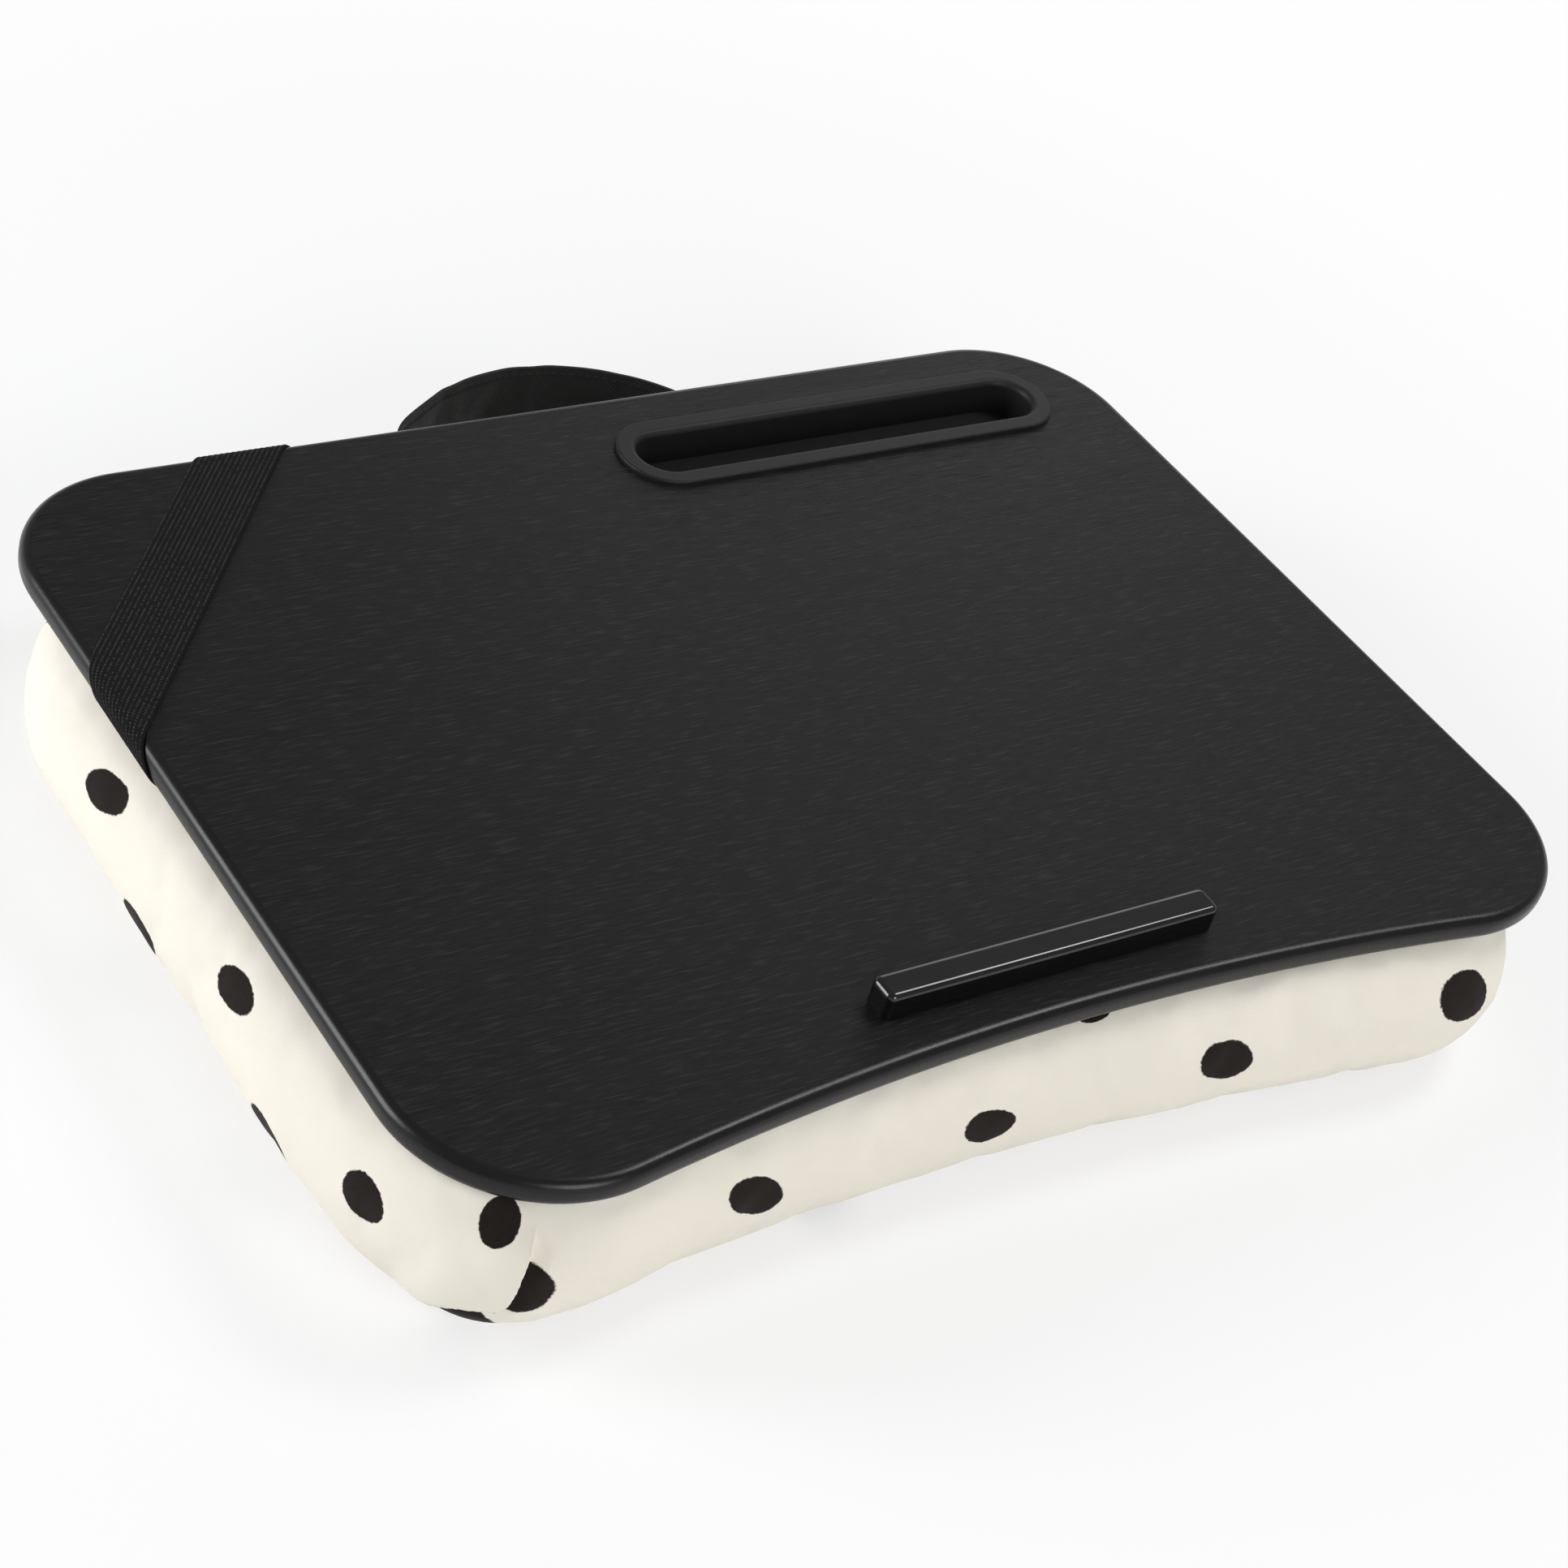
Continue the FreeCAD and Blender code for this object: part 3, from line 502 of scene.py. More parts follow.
apply_modifier(cushion, "SUBSURF", levels=1, render_levels=1)
for reach in DENSER_WITHIN:
    points = points_of(cushion.data)
    close = near_corner(points) & (np.abs(fold_distance(corner_chart(points)[0])) < reach)
    alone(cushion)
    bpy.ops.object.mode_set(mode="EDIT")
    bpy.ops.mesh.select_mode(type="VERT")
    bpy.ops.mesh.select_all(action="DESELECT")
    bpy.ops.object.mode_set(mode="OBJECT")
    cushion.data.vertices.foreach_set("select", close)
    bpy.ops.object.mode_set(mode="EDIT")
    bpy.ops.mesh.subdivide(number_cuts=1, smoothness=0.0)
    bpy.ops.object.mode_set(mode="OBJECT")
print("cushion has", len(cushion.data.vertices), "points")

# %% Tuck and fullness
LOBE_RISE, LOBE_CREST, LOBE_REACH = 3.4 * MM, 2 * MM, 30 * MM
VALLEY_DEPTH, VALLEY_REACH, FOLD_SOFTNESS = 1.9 * MM, 8 * MM, 0.5 * MM
FOLD_FADE_START, FOLD_FADE_END = 26 * MM, 44 * MM
FOLD_FADE_LOW, FOLD_FADE_HIGH = 37 * MM, 47 * MM
# Middle (x, y, z), reach and depth of each fuller or slacker place, in millimetres
FULLNESS = [
    (-222, 5, 22, 55, 3.0), (-222, -78, 18, 36, 3.2), (-222, 95, 22, 45, 2.4), (55, -160, 20, 70, 1.6),
    (-130, -162, 20, 36, -1.5), (206, -130, 30, 45, -2.5), (-187, -158, 9, 13, 2.0), (-203, -152, 6, 15, 3.4),
]
FOOT_FADE, RIM_FADE_START, RIM_FADE_END, LEVEL_LIMIT = 3 * MM, MM, 8 * MM, 0.3

points = points_of(cushion.data)
outward = normals_of(cushion.data)
chart, _ = corner_chart(points)
fold = fold_distance(chart)
fade = (near_corner(points) * smooth_step(chart[:, 0], FOLD_FADE_START, FOLD_FADE_END)
        * smooth_step(-chart[:, 1], -FOLD_FADE_HIGH, -FOLD_FADE_LOW))
lobe = (LOBE_RISE * smooth_step(fold, -FOLD_SOFTNESS, FOLD_SOFTNESS)
        * (1 - smooth_step(fold, LOBE_CREST, LOBE_REACH)))
valley = (-VALLEY_DEPTH * smooth_step(-fold, -FOLD_SOFTNESS, FOLD_SOFTNESS)
          * (1 - smooth_step(-fold, 0, VALLEY_REACH)))
push = fade * (lobe + valley)
swell = np.zeros(len(points))
for x, y, z, reach, depth in FULLNESS:
    away = np.linalg.norm(points - np.array([x, y, z]) * MM, axis=1) / (reach * MM)
    swell = swell + depth * MM * np.exp(-away ** 2) * smooth_step(points[:, 2], 0, FOOT_FADE)
aside = outward * np.array([1, 1, 0])
aside /= np.maximum(np.linalg.norm(aside, axis=1, keepdims=True), LEVEL_LIMIT)
swell *= smooth_step(BOARD_UNDERSIDE - points[:, 2], RIM_FADE_START, RIM_FADE_END)
points = points + outward * push[:, None] + aside * swell[:, None]
deepest = float(np.abs(push).max() + np.abs(swell).max())
print("tuck and fullness push by up to", round(1000 * deepest, 1), "mm")

# %% Seat of the slot
SLOT_LOW, SLOT_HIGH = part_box("device_slot_insert")
SEAT_MARGIN, WELL_GAP, BOARD_GAP, UPPER_SIDE = 3.5 * MM, 0.4 * MM, 0.15 * MM, 40 * MM

slot_low, slot_high = np.array(SLOT_LOW), np.array(SLOT_HIGH)
middle, half = (slot_low + slot_high)[:2] / 2, (slot_high - slot_low)[:2] / 2
over_well = np.all(np.abs(points[:, :2] - middle) < half - SEAT_MARGIN, axis=1) & (points[:, 2] > UPPER_SIDE)
ceiling = np.where(over_well, slot_low[2] - WELL_GAP, BOARD_UNDERSIDE - BOARD_GAP)
points[:, 2] = np.maximum(np.minimum(points[:, 2], ceiling), 0)
put_points(cushion.data, points)
alone(cushion)
bpy.ops.object.shade_smooth()
print("cushion:", len(cushion.data.polygons), "faces, box",
      [[round(1000 * x, 1) for x in f(points, axis=0)] for f in (np.min, np.max)])

# %% [markdown]
# ## The dots
# The cover is printed with rough dots. The remesh took its UV map away, so a new one is made from the dots:
# each face finds its nearest dot and stores where it lies from that dot's middle, flat on the cloth. The
# finish then needs only one distance for all of them.

# %% Lay out the dots
# Middle in millimetres, then how wide and tall the dot is against its radius and its lean in degrees
DOTS = [
    (-224.7, 41.9, 40.9, 1.22, 0.64, 12), (-224.8, -46.4, 41, 1.1, 0.6, 4),
    (-224.1, -126, 35, 0.92, 0.7, -14), (-224, 7, 18.5), (-224, -81, 19),
    (-199.1, -155.1, 46.8, 0.62, 0.8, 0), (-192.4, -164.3, 26.5, 0.95, 1.0, 0),
    (-203, -153, 9.5, 1.1, 0.95, 0),
    (-117.4, -163.8, 34.9, 1.19, 0.7, -29), (-30.9, -162.4, 32, 1.13, 0.66, -13),
    (60.2, -166.9, 33.7, 1.2, 0.8, -17), (157, -173.6, 38.9, 1.38, 0.92, -17),
    (11.5, -149.2, 54.3, 0.7, 0.3, 0), (-74, -150, 0), (108, -150, 0), (-200, 128, 42),
    (208, -105, 16), (209, -58, 39), (210, -14, 14), (209, 28, 38), (208, 72, 14), (190, 118, 38),
    (150, 150, 14), (106, 157, 40), (62, 157, 15), (18, 156, 40), (-26, 157, 15), (-114, 156, 15),
    (-158, 148, 38),
]
UNDER_LOBE = (6, 7)  # these dots go under the lobe, so the fold cuts them off
PLAIN_OVAL = (1.15, 0.7, -10)
BASE_ROWS, BASE_COLUMNS, BASE_X, BASE_Y, ROW_PITCH, COLUMN_PITCH = 4, 5, -164, -100, 66, 84
LEVEL_FACE = 0.9

for row in range(BASE_ROWS):
    for column in range(BASE_COLUMNS):
        x = BASE_X + COLUMN_PITCH * column + COLUMN_PITCH // 2 * (row % 2)
        DOTS.append((x, BASE_Y + ROW_PITCH * row, 0))

centres, acrosses, ups = [], [], []
for dot in DOTS:
    _, centre, normal, _ = cushion.closest_point_on_mesh(Vector(dot[:3]) * MM)
    wide, tall, lean = dot[3:] or PLAIN_OVAL
    level = abs(normal.z) > LEVEL_FACE
    across = Vector((1, 0, 0)) if level else Vector((0, 0, 1)).cross(normal).normalized()
    across.rotate(Quaternion(normal, math.radians(lean)))
    centres.append(centre)
    acrosses.append(across / wide)
    ups.append(normal.cross(across) / tall)
centres, acrosses, ups = (np.array(rows) for rows in (centres, acrosses, ups))
print("dots:", len(DOTS))

# %% Map the dots
mesh = cushion.data
middles = np.empty(3 * len(mesh.polygons))
mesh.polygons.foreach_get("center", middles)
middles = middles.reshape(-1, 3)
nearest = np.zeros(len(middles), int)
best = np.full(len(middles), 1e9)
on_lobe = near_corner(middles) & (fold_distance(corner_chart(middles)[0]) > 0)
for index, centre in enumerate(centres):
    distance = ((middles - centre) ** 2).sum(axis=1) + (index in UNDER_LOBE) * on_lobe
    nearest = np.where(distance < best, index, nearest)
    best = np.minimum(distance, best)
counts = np.empty(len(mesh.polygons), np.int32)
mesh.polygons.foreach_get("loop_total", counts)
corner_points = np.empty(len(mesh.loops), np.int32)
mesh.loops.foreach_get("vertex_index", corner_points)
owner = np.repeat(nearest, counts)
offset = points_of(mesh)[corner_points] - centres[owner]
flat = np.stack([(offset * acrosses[owner]).sum(axis=1), (offset * ups[owner]).sum(axis=1)], axis=1)
layer = mesh.uv_layers.new(name="dots")
layer.data.foreach_set("uv", flat.astype(np.float32).ravel())
print("each of", len(nearest), "faces has the nearest of", len(centres), "dots")

# %% [markdown]
# ## The cotton
# The cloth is a plain weave, too fine to see from far off but enough to soften the light, in cream that is
# never quite one tone. The dots are printed: their rims wander, bleed a little and let the weave through.

# %% Cotton finish
DOT_RADIUS, THREAD = 9.0 * MM, 0.62 * MM
RIM_INSIDE, RIM_OUTSIDE = 0.3 * MM, 0.35 * MM

cotton = Finish("dotted_cotton", Specular_IOR_Level=0.12, Sheen_Weight=0.06, Sheen_Roughness=0.5)
spot = cotton.place()
cloth = cotton.surface("dots")
wander = cotton.noise(spot, 75.0, detail=1.0) - 0.5
fray = cotton.noise(spot, 900.0, detail=2.0) - 0.5
distance = cotton.node("VectorMath", {"operation": "LENGTH"}, {0: cloth}, out="Value")
rim = distance + 0.0028 * wander + 0.0012 * fray
ink = 1 - rim.ramp(DOT_RADIUS - RIM_INSIDE, DOT_RADIUS + RIM_OUTSIDE)
u, v, _ = cotton.parts(cloth)
warp, weft = u.wave(THREAD), v.wave(THREAD)
threads = warp * weft + (1 - warp) * (1 - weft)
tint = cotton.noise(spot, 14.0, detail=2.0)
cream = cotton.mix(tint, (0.84, 0.79, 0.695, 1), (0.87, 0.825, 0.74, 1))
cream = cotton.mix(0.12 * threads, cream, (0.66, 0.61, 0.51, 1))
brown = cotton.mix(0.6 * threads + 0.5 * fray, (0.008, 0.0055, 0.0045, 1), (0.027, 0.02, 0.017, 1))
cotton.feed(Base_Color=cotton.mix(ink, cream, brown), Roughness=0.8 + 0.1 * threads)
cotton.bump(threads + 0.6 * fray, 0.00012, 0.35)
wear(cotton, cushion)
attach(cushion, "tray")
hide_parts("cover_shell", "cover_hem", "top_lining", "left_bolster_fill", "right_bolster_fill")
print("cotton on", cushion.name)

# %% [markdown]
# ## The elastic strap
# The strap is woven elastic with ribs along its length. It crosses the back left corner, turns round both
# edges of the board and is stapled below. A strap that turns round an edge stays flat on paper, so it is
# drawn flat and its end is rolled round the edge's profile. It is made in two halves, one round each edge.

# %% The strap's path
BOARD_LOW, BOARD_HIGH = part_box("board_core")
FILM_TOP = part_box("board_top_film")[1].z
STRAP_WIDTH, STRAP_RIBS = 25.4 * MM, 16
CROSS_BACK, CROSS_SIDE = 94.6 * MM, 109.6 * MM
STRAP_TAIL = 36 * MM
RIB_HEIGHT, SELVEDGE, SELVEDGE_DROP = 0.16 * MM, 0.07, 0.3 * MM
strap_middle = Vector((BOARD_LOW.x + CROSS_BACK / 2, BOARD_HIGH.y - CROSS_SIDE / 2, 0))
strap_run = Vector((CROSS_BACK, CROSS_SIDE, 0)).normalized()
strap_side = Vector((-strap_run.y, strap_run.x, 0))
TOP_TURN, LOW_TURN, EDGE_ROUND, TAIL_SUNK = 4.65 * MM, 4.0 * MM, 3.5 * MM, 0.1 * MM
TOP_LEVEL = FILM_TOP + TOP_TURN - EDGE_ROUND
LOW_LEVEL = BOARD_UNDERSIDE + TAIL_SUNK


def round_the_edge(run, rise):
    """Distance in from the edge and height, for a run beyond the flat top and a rise off the face."""
    if run < 0:
        return EDGE_ROUND - run, TOP_LEVEL + rise
    top_arc = TOP_TURN * math.pi / 2
    if run < top_arc:
        turn = run / TOP_TURN
        radius = TOP_TURN + rise
        return EDGE_ROUND - radius * math.sin(turn), TOP_LEVEL - TOP_TURN + radius * math.cos(turn)
    run -= top_arc
    drop = TOP_LEVEL - TOP_TURN - LOW_LEVEL - LOW_TURN
    if run < drop:
        return EDGE_ROUND - TOP_TURN - rise, TOP_LEVEL - TOP_TURN - run
    run -= drop
    inset = EDGE_ROUND - TOP_TURN + LOW_TURN
    low_arc = LOW_TURN * math.pi / 2
    if run < low_arc:
        turn = run / LOW_TURN
        radius = LOW_TURN + rise
        return inset - radius * math.cos(turn), LOW_LEVEL + LOW_TURN - radius * math.sin(turn)
    return inset + run - low_arc, LOW_LEVEL - rise


def rib_height(across):
    """Ribs along the strap, with the selvedges rolled down."""
    rib = RIB_HEIGHT * abs(math.sin(math.pi * STRAP_RIBS * (across + 1) / 2))
    edge = max(0.0, (abs(across) - (1 - SELVEDGE)) / SELVEDGE)
    return rib - RIB_HEIGHT - SELVEDGE_DROP * edge ** 2


EDGE_RUN = TOP_TURN * math.pi / 2 + LOW_TURN * math.pi / 2 + TOP_LEVEL - TOP_TURN - LOW_LEVEL - LOW_TURN
print("the strap runs round the edge for", round(1000 * EDGE_RUN, 1), "mm")

# %% Strap
HALF_STEPS, STEPS_PER_RIB, HALF_LENGTH, STRAP_THICKNESS = 120, 5, 0.14, 1.0 * MM
CLOTH_CREASE = math.radians(45)

strap_halves = []
for name, heading in (("strap_back_half", 1), ("strap_side_half", -1)):
    half_strap = cut_strip(name, HALF_STEPS, STRAP_RIBS * STEPS_PER_RIB, HALF_LENGTH, STRAP_WIDTH)

    def on_tray(along, across, heading=heading):
        aside = strap_side * (across * STRAP_WIDTH / 2)
        far_end = EDGE_RUN + STRAP_TAIL
        if heading > 0:
            limit = BOARD_HIGH.y - EDGE_ROUND
            length = (limit + far_end - strap_middle.y - aside.y) / strap_run.y
            flat = strap_middle + aside + strap_run * (length * (along + 1) / 2)
            inward, height = round_the_edge(flat.y - limit, rib_height(across))
            return Vector((flat.x, BOARD_HIGH.y - inward, height))
        limit = BOARD_LOW.x + EDGE_ROUND
        length = (strap_middle.x + aside.x - limit + far_end) / strap_run.x
        flat = strap_middle + aside - strap_run * (length * (along + 1) / 2)
        inward, height = round_the_edge(limit - flat.x, rib_height(across))
        return Vector((BOARD_LOW.x + inward, flat.y, height))

    lay_strip(half_strap, on_tray)
    bpy.ops.object.mode_set(mode="EDIT")
    bpy.ops.mesh.select_all(action="SELECT")
    bpy.ops.mesh.normals_make_consistent(inside=False)
    bpy.ops.object.mode_set(mode="OBJECT")
    top = max(half_strap.data.polygons, key=lambda face: face.center.z)
    if top.normal.z < 0:
        half_strap.data.flip_normals()
    apply_modifier(half_strap, "SOLIDIFY", thickness=STRAP_THICKNESS, offset=-1)
    bpy.ops.object.shade_smooth_by_angle(angle=CLOTH_CREASE)
    strap_halves.append(half_strap)
    print(name, len(half_strap.data.polygons), "faces")

# %% [markdown]
# ## The elastic's weave
# Rubber threads run between the ribs, and where the black yarn opens over them they show as rows of small
# grey flecks. The strip's UV map is in metres, so the rows and flecks have their real pitch.

# %% Elastic finish
elastic = Finish("ribbed_elastic", Specular_IOR_Level=0.08, Sheen_Weight=0.02, Sheen_Roughness=0.6)
u, v, _ = elastic.parts(elastic.surface("cloth"))
spot = elastic.place()
groove = 1 - v.wave(STRAP_WIDTH / STRAP_RIBS)
rows = groove.ramp(0.7, 0.95)
chance = elastic.noise(spot, 650.0, detail=2.0)
flecks = rows * (u + 0.35 * v).wave(1.1 * MM).ramp(0.45, 0.8) * chance.ramp(0.38, 0.58)
yarn = (u - 0.6 * v).wave(0.75 * MM)
black = elastic.mix(yarn * chance, grey(0.003), grey(0.012, 0.04))
elastic.feed(Base_Color=elastic.mix(flecks, black, grey(0.075, 0.03)), Roughness=0.75 + 0.15 * chance)
elastic.bump(yarn + flecks, 0.0002, 0.6)
print("elastic is ready")

# %% Strap halves in place of the CAD strap
BACK_SEAT = (strap_middle.x + 50.5 * MM, strap_middle.y + 58.5 * MM, 0)
SIDE_SEAT = (strap_middle.x - 44 * MM, strap_middle.y - 51 * MM, 0)

for half_strap, seat, nodes_replaced in (
        (strap_halves[0], BACK_SEAT, ("strap_back_end", "strap_span")),
        (strap_halves[1], SIDE_SEAT, ("strap_side_end",))):
    wear(elastic, half_strap)
    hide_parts(*nodes_replaced)
    heading = strap_middle - Vector(seat)
    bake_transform(half_strap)
print("elastic on", [half_strap.name for half_strap in strap_halves])

# %% [markdown]
# ## The board
# The board is routed from fibreboard: a rounded outline with a hollow front, then a round along both edges.
# Here the outline is drawn from its arcs, extruded and bevelled in the same order. A shallow recess takes
# the film, an opening takes the slot, and two flats under the edge take the strap's tails.

# %% Board outline
BACK_RADIUS, FRONT_RADIUS, WAVE_RADIUS = 48.3 * MM, 49.8 * MM, 1069 * MM
BACK_STEPS, FRONT_STEPS, WAVE_STEPS = 32, 36, 90


def arc(x, y, radius, start, end, steps, closed=True):
    """Points on an arc, with or without its end."""
    return [Vector((x + radius * math.cos(turn), y + radius * math.sin(turn), 0))
            for turn in np.linspace(start, end, steps, endpoint=closed)]


def board_outline(inset):
    """Points round the board, some way in from its edge."""
    half_width, half_depth = BOARD_HIGH.x - inset, BOARD_HIGH.y - inset
    back_radius, front_radius, wave_radius = BACK_RADIUS - inset, FRONT_RADIUS - inset, WAVE_RADIUS + inset
    corner_x, corner_y = half_width - front_radius, front_radius - half_depth
    drop = math.sqrt((wave_radius + front_radius) ** 2 - corner_x ** 2)
    lean, quarter = math.atan2(corner_x, drop), math.pi / 2
    back_x, back_y = half_width - back_radius, half_depth - back_radius
    return (arc(0, corner_y - drop, wave_radius, quarter + lean, quarter - lean, WAVE_STEPS, closed=False)
            + arc(corner_x, corner_y, front_radius, -quarter - lean, 0, FRONT_STEPS)
            + arc(back_x, back_y, back_radius, 0, quarter, BACK_STEPS)
            + arc(-back_x, back_y, back_radius, quarter, 2 * quarter, BACK_STEPS)
            + arc(-corner_x, corner_y, front_radius, 2 * quarter, 3 * quarter + lean, FRONT_STEPS,
                  closed=False))


def plate(name, outline, low, high):
    """A flat plate with an outline, between two levels."""
    bpy.ops.object.select_all(action="DESELECT")
    bpy.ops.mesh.primitive_circle_add(vertices=len(outline), fill_type="NGON")
    made = bpy.context.object
    made.name = made.data.name = name
    for vertex, point in zip(made.data.vertices, outline):
        vertex.co = (point.x, point.y, low)
    bpy.ops.object.mode_set(mode="EDIT")
    bpy.ops.mesh.select_all(action="SELECT")
    bpy.ops.mesh.extrude_region_move(TRANSFORM_OT_translate={"value": (0, 0, high - low)})
    bpy.ops.mesh.select_all(action="SELECT")
    bpy.ops.mesh.normals_make_consistent(inside=False)
    bpy.ops.object.mode_set(mode="OBJECT")
    return made


def select_level(piece, level, kind):
    """Select, in edit mode, the edges or faces that lie flat at a level."""
    alone(piece)
    bpy.ops.object.mode_set(mode="EDIT")
    bpy.ops.mesh.select_mode(type=kind)
    bpy.ops.mesh.select_all(action="DESELECT")
    bpy.ops.object.mode_set(mode="OBJECT")
    for part in piece.data.edges if kind == "EDGE" else piece.data.polygons:
        part.select = all(abs(piece.data.vertices[i].co.z - level) < WELD for i in part.vertices)
    bpy.ops.object.mode_set(mode="EDIT")


print("board outline has", len(board_outline(0)), "points")

# %% Outlines of the cuts
SLOT_CLEARANCE, WELL_LENGTH, WELL_WIDTH, WELL_STEPS = 0.3 * MM, 175.7 * MM, 24.7 * MM, 24
RECESS_DEPTH, TAIL_REACH, TAIL_OVERHANG, TAIL_ROOM = 1.6 * MM, 40.5 * MM, 8 * MM, 1.06
TAIL_START = EDGE_ROUND - TOP_TURN + LOW_TURN


def well_outline(gap):
    """Points round the slot's well, some way out from it."""
    radius = WELL_WIDTH / 2 + gap
    middle, reach = (SLOT_LOW + SLOT_HIGH) / 2, WELL_LENGTH / 2 - WELL_WIDTH / 2
    return (arc(middle.x + reach, middle.y, radius, -math.pi / 2, math.pi / 2, WELL_STEPS)
            + arc(middle.x - reach, middle.y, radius, math.pi / 2, 3 * math.pi / 2, WELL_STEPS))


def tail_point(heading, inward, across):
    """A point of the strap's tail under the board, some way in from the edge."""
    aside = strap_side * (across * STRAP_WIDTH / 2)
    run = EDGE_RUN + inward - TAIL_START
    if heading > 0:
        length = (BOARD_HIGH.y - EDGE_ROUND + run - strap_middle.y - aside.y) / strap_run.y
        return Vector((strap_middle.x + aside.x + strap_run.x * length, BOARD_HIGH.y - inward, 0))
    length = (strap_middle.x + aside.x - BOARD_LOW.x - EDGE_ROUND + run) / strap_run.x
    return Vector((BOARD_LOW.x + inward, strap_middle.y + aside.y - strap_run.y * length, 0))


def cut_away(piece, tool):
    """Take a tool's shape out of a piece."""
    apply_modifier(piece, "BOOLEAN", operation="DIFFERENCE", solver="EXACT", object=tool)
    bpy.data.objects.remove(tool)


print("the well's outline has", len(well_outline(SLOT_CLEARANCE)), "points")

# %% Board and film
EDGE_SEGMENTS, FILM_THICKNESS, FILM_GAP = 8, 0.4 * MM, 0.03 * MM
BOARD_CREASE = math.radians(35)

board = plate("board", board_outline(0), BOARD_UNDERSIDE, FILM_TOP)
for level in (BOARD_UNDERSIDE, FILM_TOP):
    select_level(board, level, "EDGE")
    bpy.ops.mesh.bevel(offset=EDGE_ROUND, segments=EDGE_SEGMENTS, affect="EDGES")
    bpy.ops.object.mode_set(mode="OBJECT")
select_level(board, FILM_TOP, "FACE")
bpy.ops.mesh.extrude_region_move(TRANSFORM_OT_translate={"value": (0, 0, -FILM_THICKNESS)})
bpy.ops.object.mode_set(mode="OBJECT")
for heading in (1, -1):
    corners = [tail_point(heading, inward, across) for inward, across in (
        (-TAIL_OVERHANG, -TAIL_ROOM), (-TAIL_OVERHANG, TAIL_ROOM),
        (TAIL_REACH, TAIL_ROOM), (TAIL_REACH, -TAIL_ROOM))]
    cut_away(board, plate("recess_tool", corners, BOARD_UNDERSIDE - MM, BOARD_UNDERSIDE + RECESS_DEPTH))
cut_away(board, plate("well_tool", well_outline(SLOT_CLEARANCE), BOARD_UNDERSIDE - MM, FILM_TOP + MM))
film = plate("top_film", board_outline(EDGE_ROUND + FILM_GAP), FILM_TOP - FILM_THICKNESS, FILM_TOP)
cut_away(film, plate("well_tool", well_outline(SLOT_CLEARANCE), BOARD_UNDERSIDE, FILM_TOP + MM))
for piece, finish, slot, node in ((board, painted_edge, "board_edge", "board_core"),
                                  (film, grained_film, "grain_film", "board_top_film")):
    alone(piece)
    bpy.ops.object.shade_smooth_by_angle(angle=BOARD_CREASE)
    wear(finish, piece)
    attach(piece, "tray")
    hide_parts(node)
    print(piece.name, len(piece.data.polygons), "faces")

# %% [markdown]
# ## The carry handle
# A twill band is sewn flat on the cushion's back wall at both ends and stands up as a loop between them.
# Its path is drawn first, seen from above: a straight tab, an arc and a straight tab, with the joins
# smoothed out. The band's hems are folded over, and the slack cloth buckles in a few soft creases where the
# loop is bent.

# %% The handle's path
TAB_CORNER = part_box("handle_right_tab")[1]
LOOP_RADIUS, LOOP_CENTRE_Y = 75.1 * MM, 124 * MM
TAB_STOP, TAB_STEP, TAB_DEPTH = -76, 2.0, 0.4 * MM
TURN_START, TURN_STOP, TURN_STEP, SMOOTHINGS = 149.0, 30.0, -2.0, 6

tab_places = np.arange(-1000 * TAB_CORNER.x, TAB_STOP, TAB_STEP)
path = [Vector((x * MM, TAB_CORNER.y - TAB_DEPTH, 0)) for x in tab_places]
turns = [math.radians(turn) for turn in np.arange(TURN_START, TURN_STOP, TURN_STEP)]
path += [Vector((math.cos(turn) * LOOP_RADIUS, LOOP_CENTRE_Y + math.sin(turn) * LOOP_RADIUS, 0))
         for turn in turns]
path += [Vector((-p.x, p.y, 0)) for p in reversed(path[:len(path) - len(turns)])]
for _ in range(SMOOTHINGS):
    path = [path[0]] + [(a + 2 * b + c) / 4 for a, b, c in zip(path, path[1:], path[2:])] + [path[-1]]
steps = [0.0]
for first, second in zip(path, path[1:]):
    steps.append(steps[-1] + (second - first).length)
band_length = steps[-1]
path_x, path_y = np.array([p.x for p in path]), np.array([p.y for p in path])


def along_band(share):
    """The path's point at a share of its length."""
    run = share * band_length
    return float(np.interp(run, steps, path_x)), float(np.interp(run, steps, path_y))


print("handle path in mm:", round(1000 * band_length, 1))

# %% Handle band
BAND_LOW, BAND_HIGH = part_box("carry_handle")
BAND_HEIGHT, BAND_THICKNESS, BAND_STEPS, BAND_ROWS = BAND_HIGH.z - BAND_LOW.z, 1.1 * MM, 260, 40
HINGE = Vector((0, 174.034, 38.15)) * MM
LIFT, NEXT_SHARE = math.tan(math.radians(4.5)), 0.004
LOOSE_START, LOOSE_END = 0.160, 0.172
# Each crease's share of the length, width and depth in millimetres, and lean
CREASES = [(0.33, 5.0, 0.9, 0.3), (0.39, 4.0, -0.8, -0.2), (0.46, 5.5, 1.0, 0.5), (0.535, 4.5, -1.1, 0.1),
           (0.6, 6.0, 0.9, -0.5), (0.67, 4.0, -0.7, 0.3)]
CREASE_ABOVE, CREASE_BELOW = 0.35, 0.65
SLACK, SLACK_SHARE, SLACK_WIDTH = 2.4 * MM, 0.21, 0.06
HEM, HEM_RISE, TOP_WAVE, TOP_WAVE_RATE = 3.2 * MM, 0.35 * MM, 0.6 * MM, 9
# The tabs follow the cushion's back wall up to its shoulder, and stand straight above it
SHOULDER, TAB_RISE, BEHIND = 51.5 * MM, 1.3 * MM, 0.3


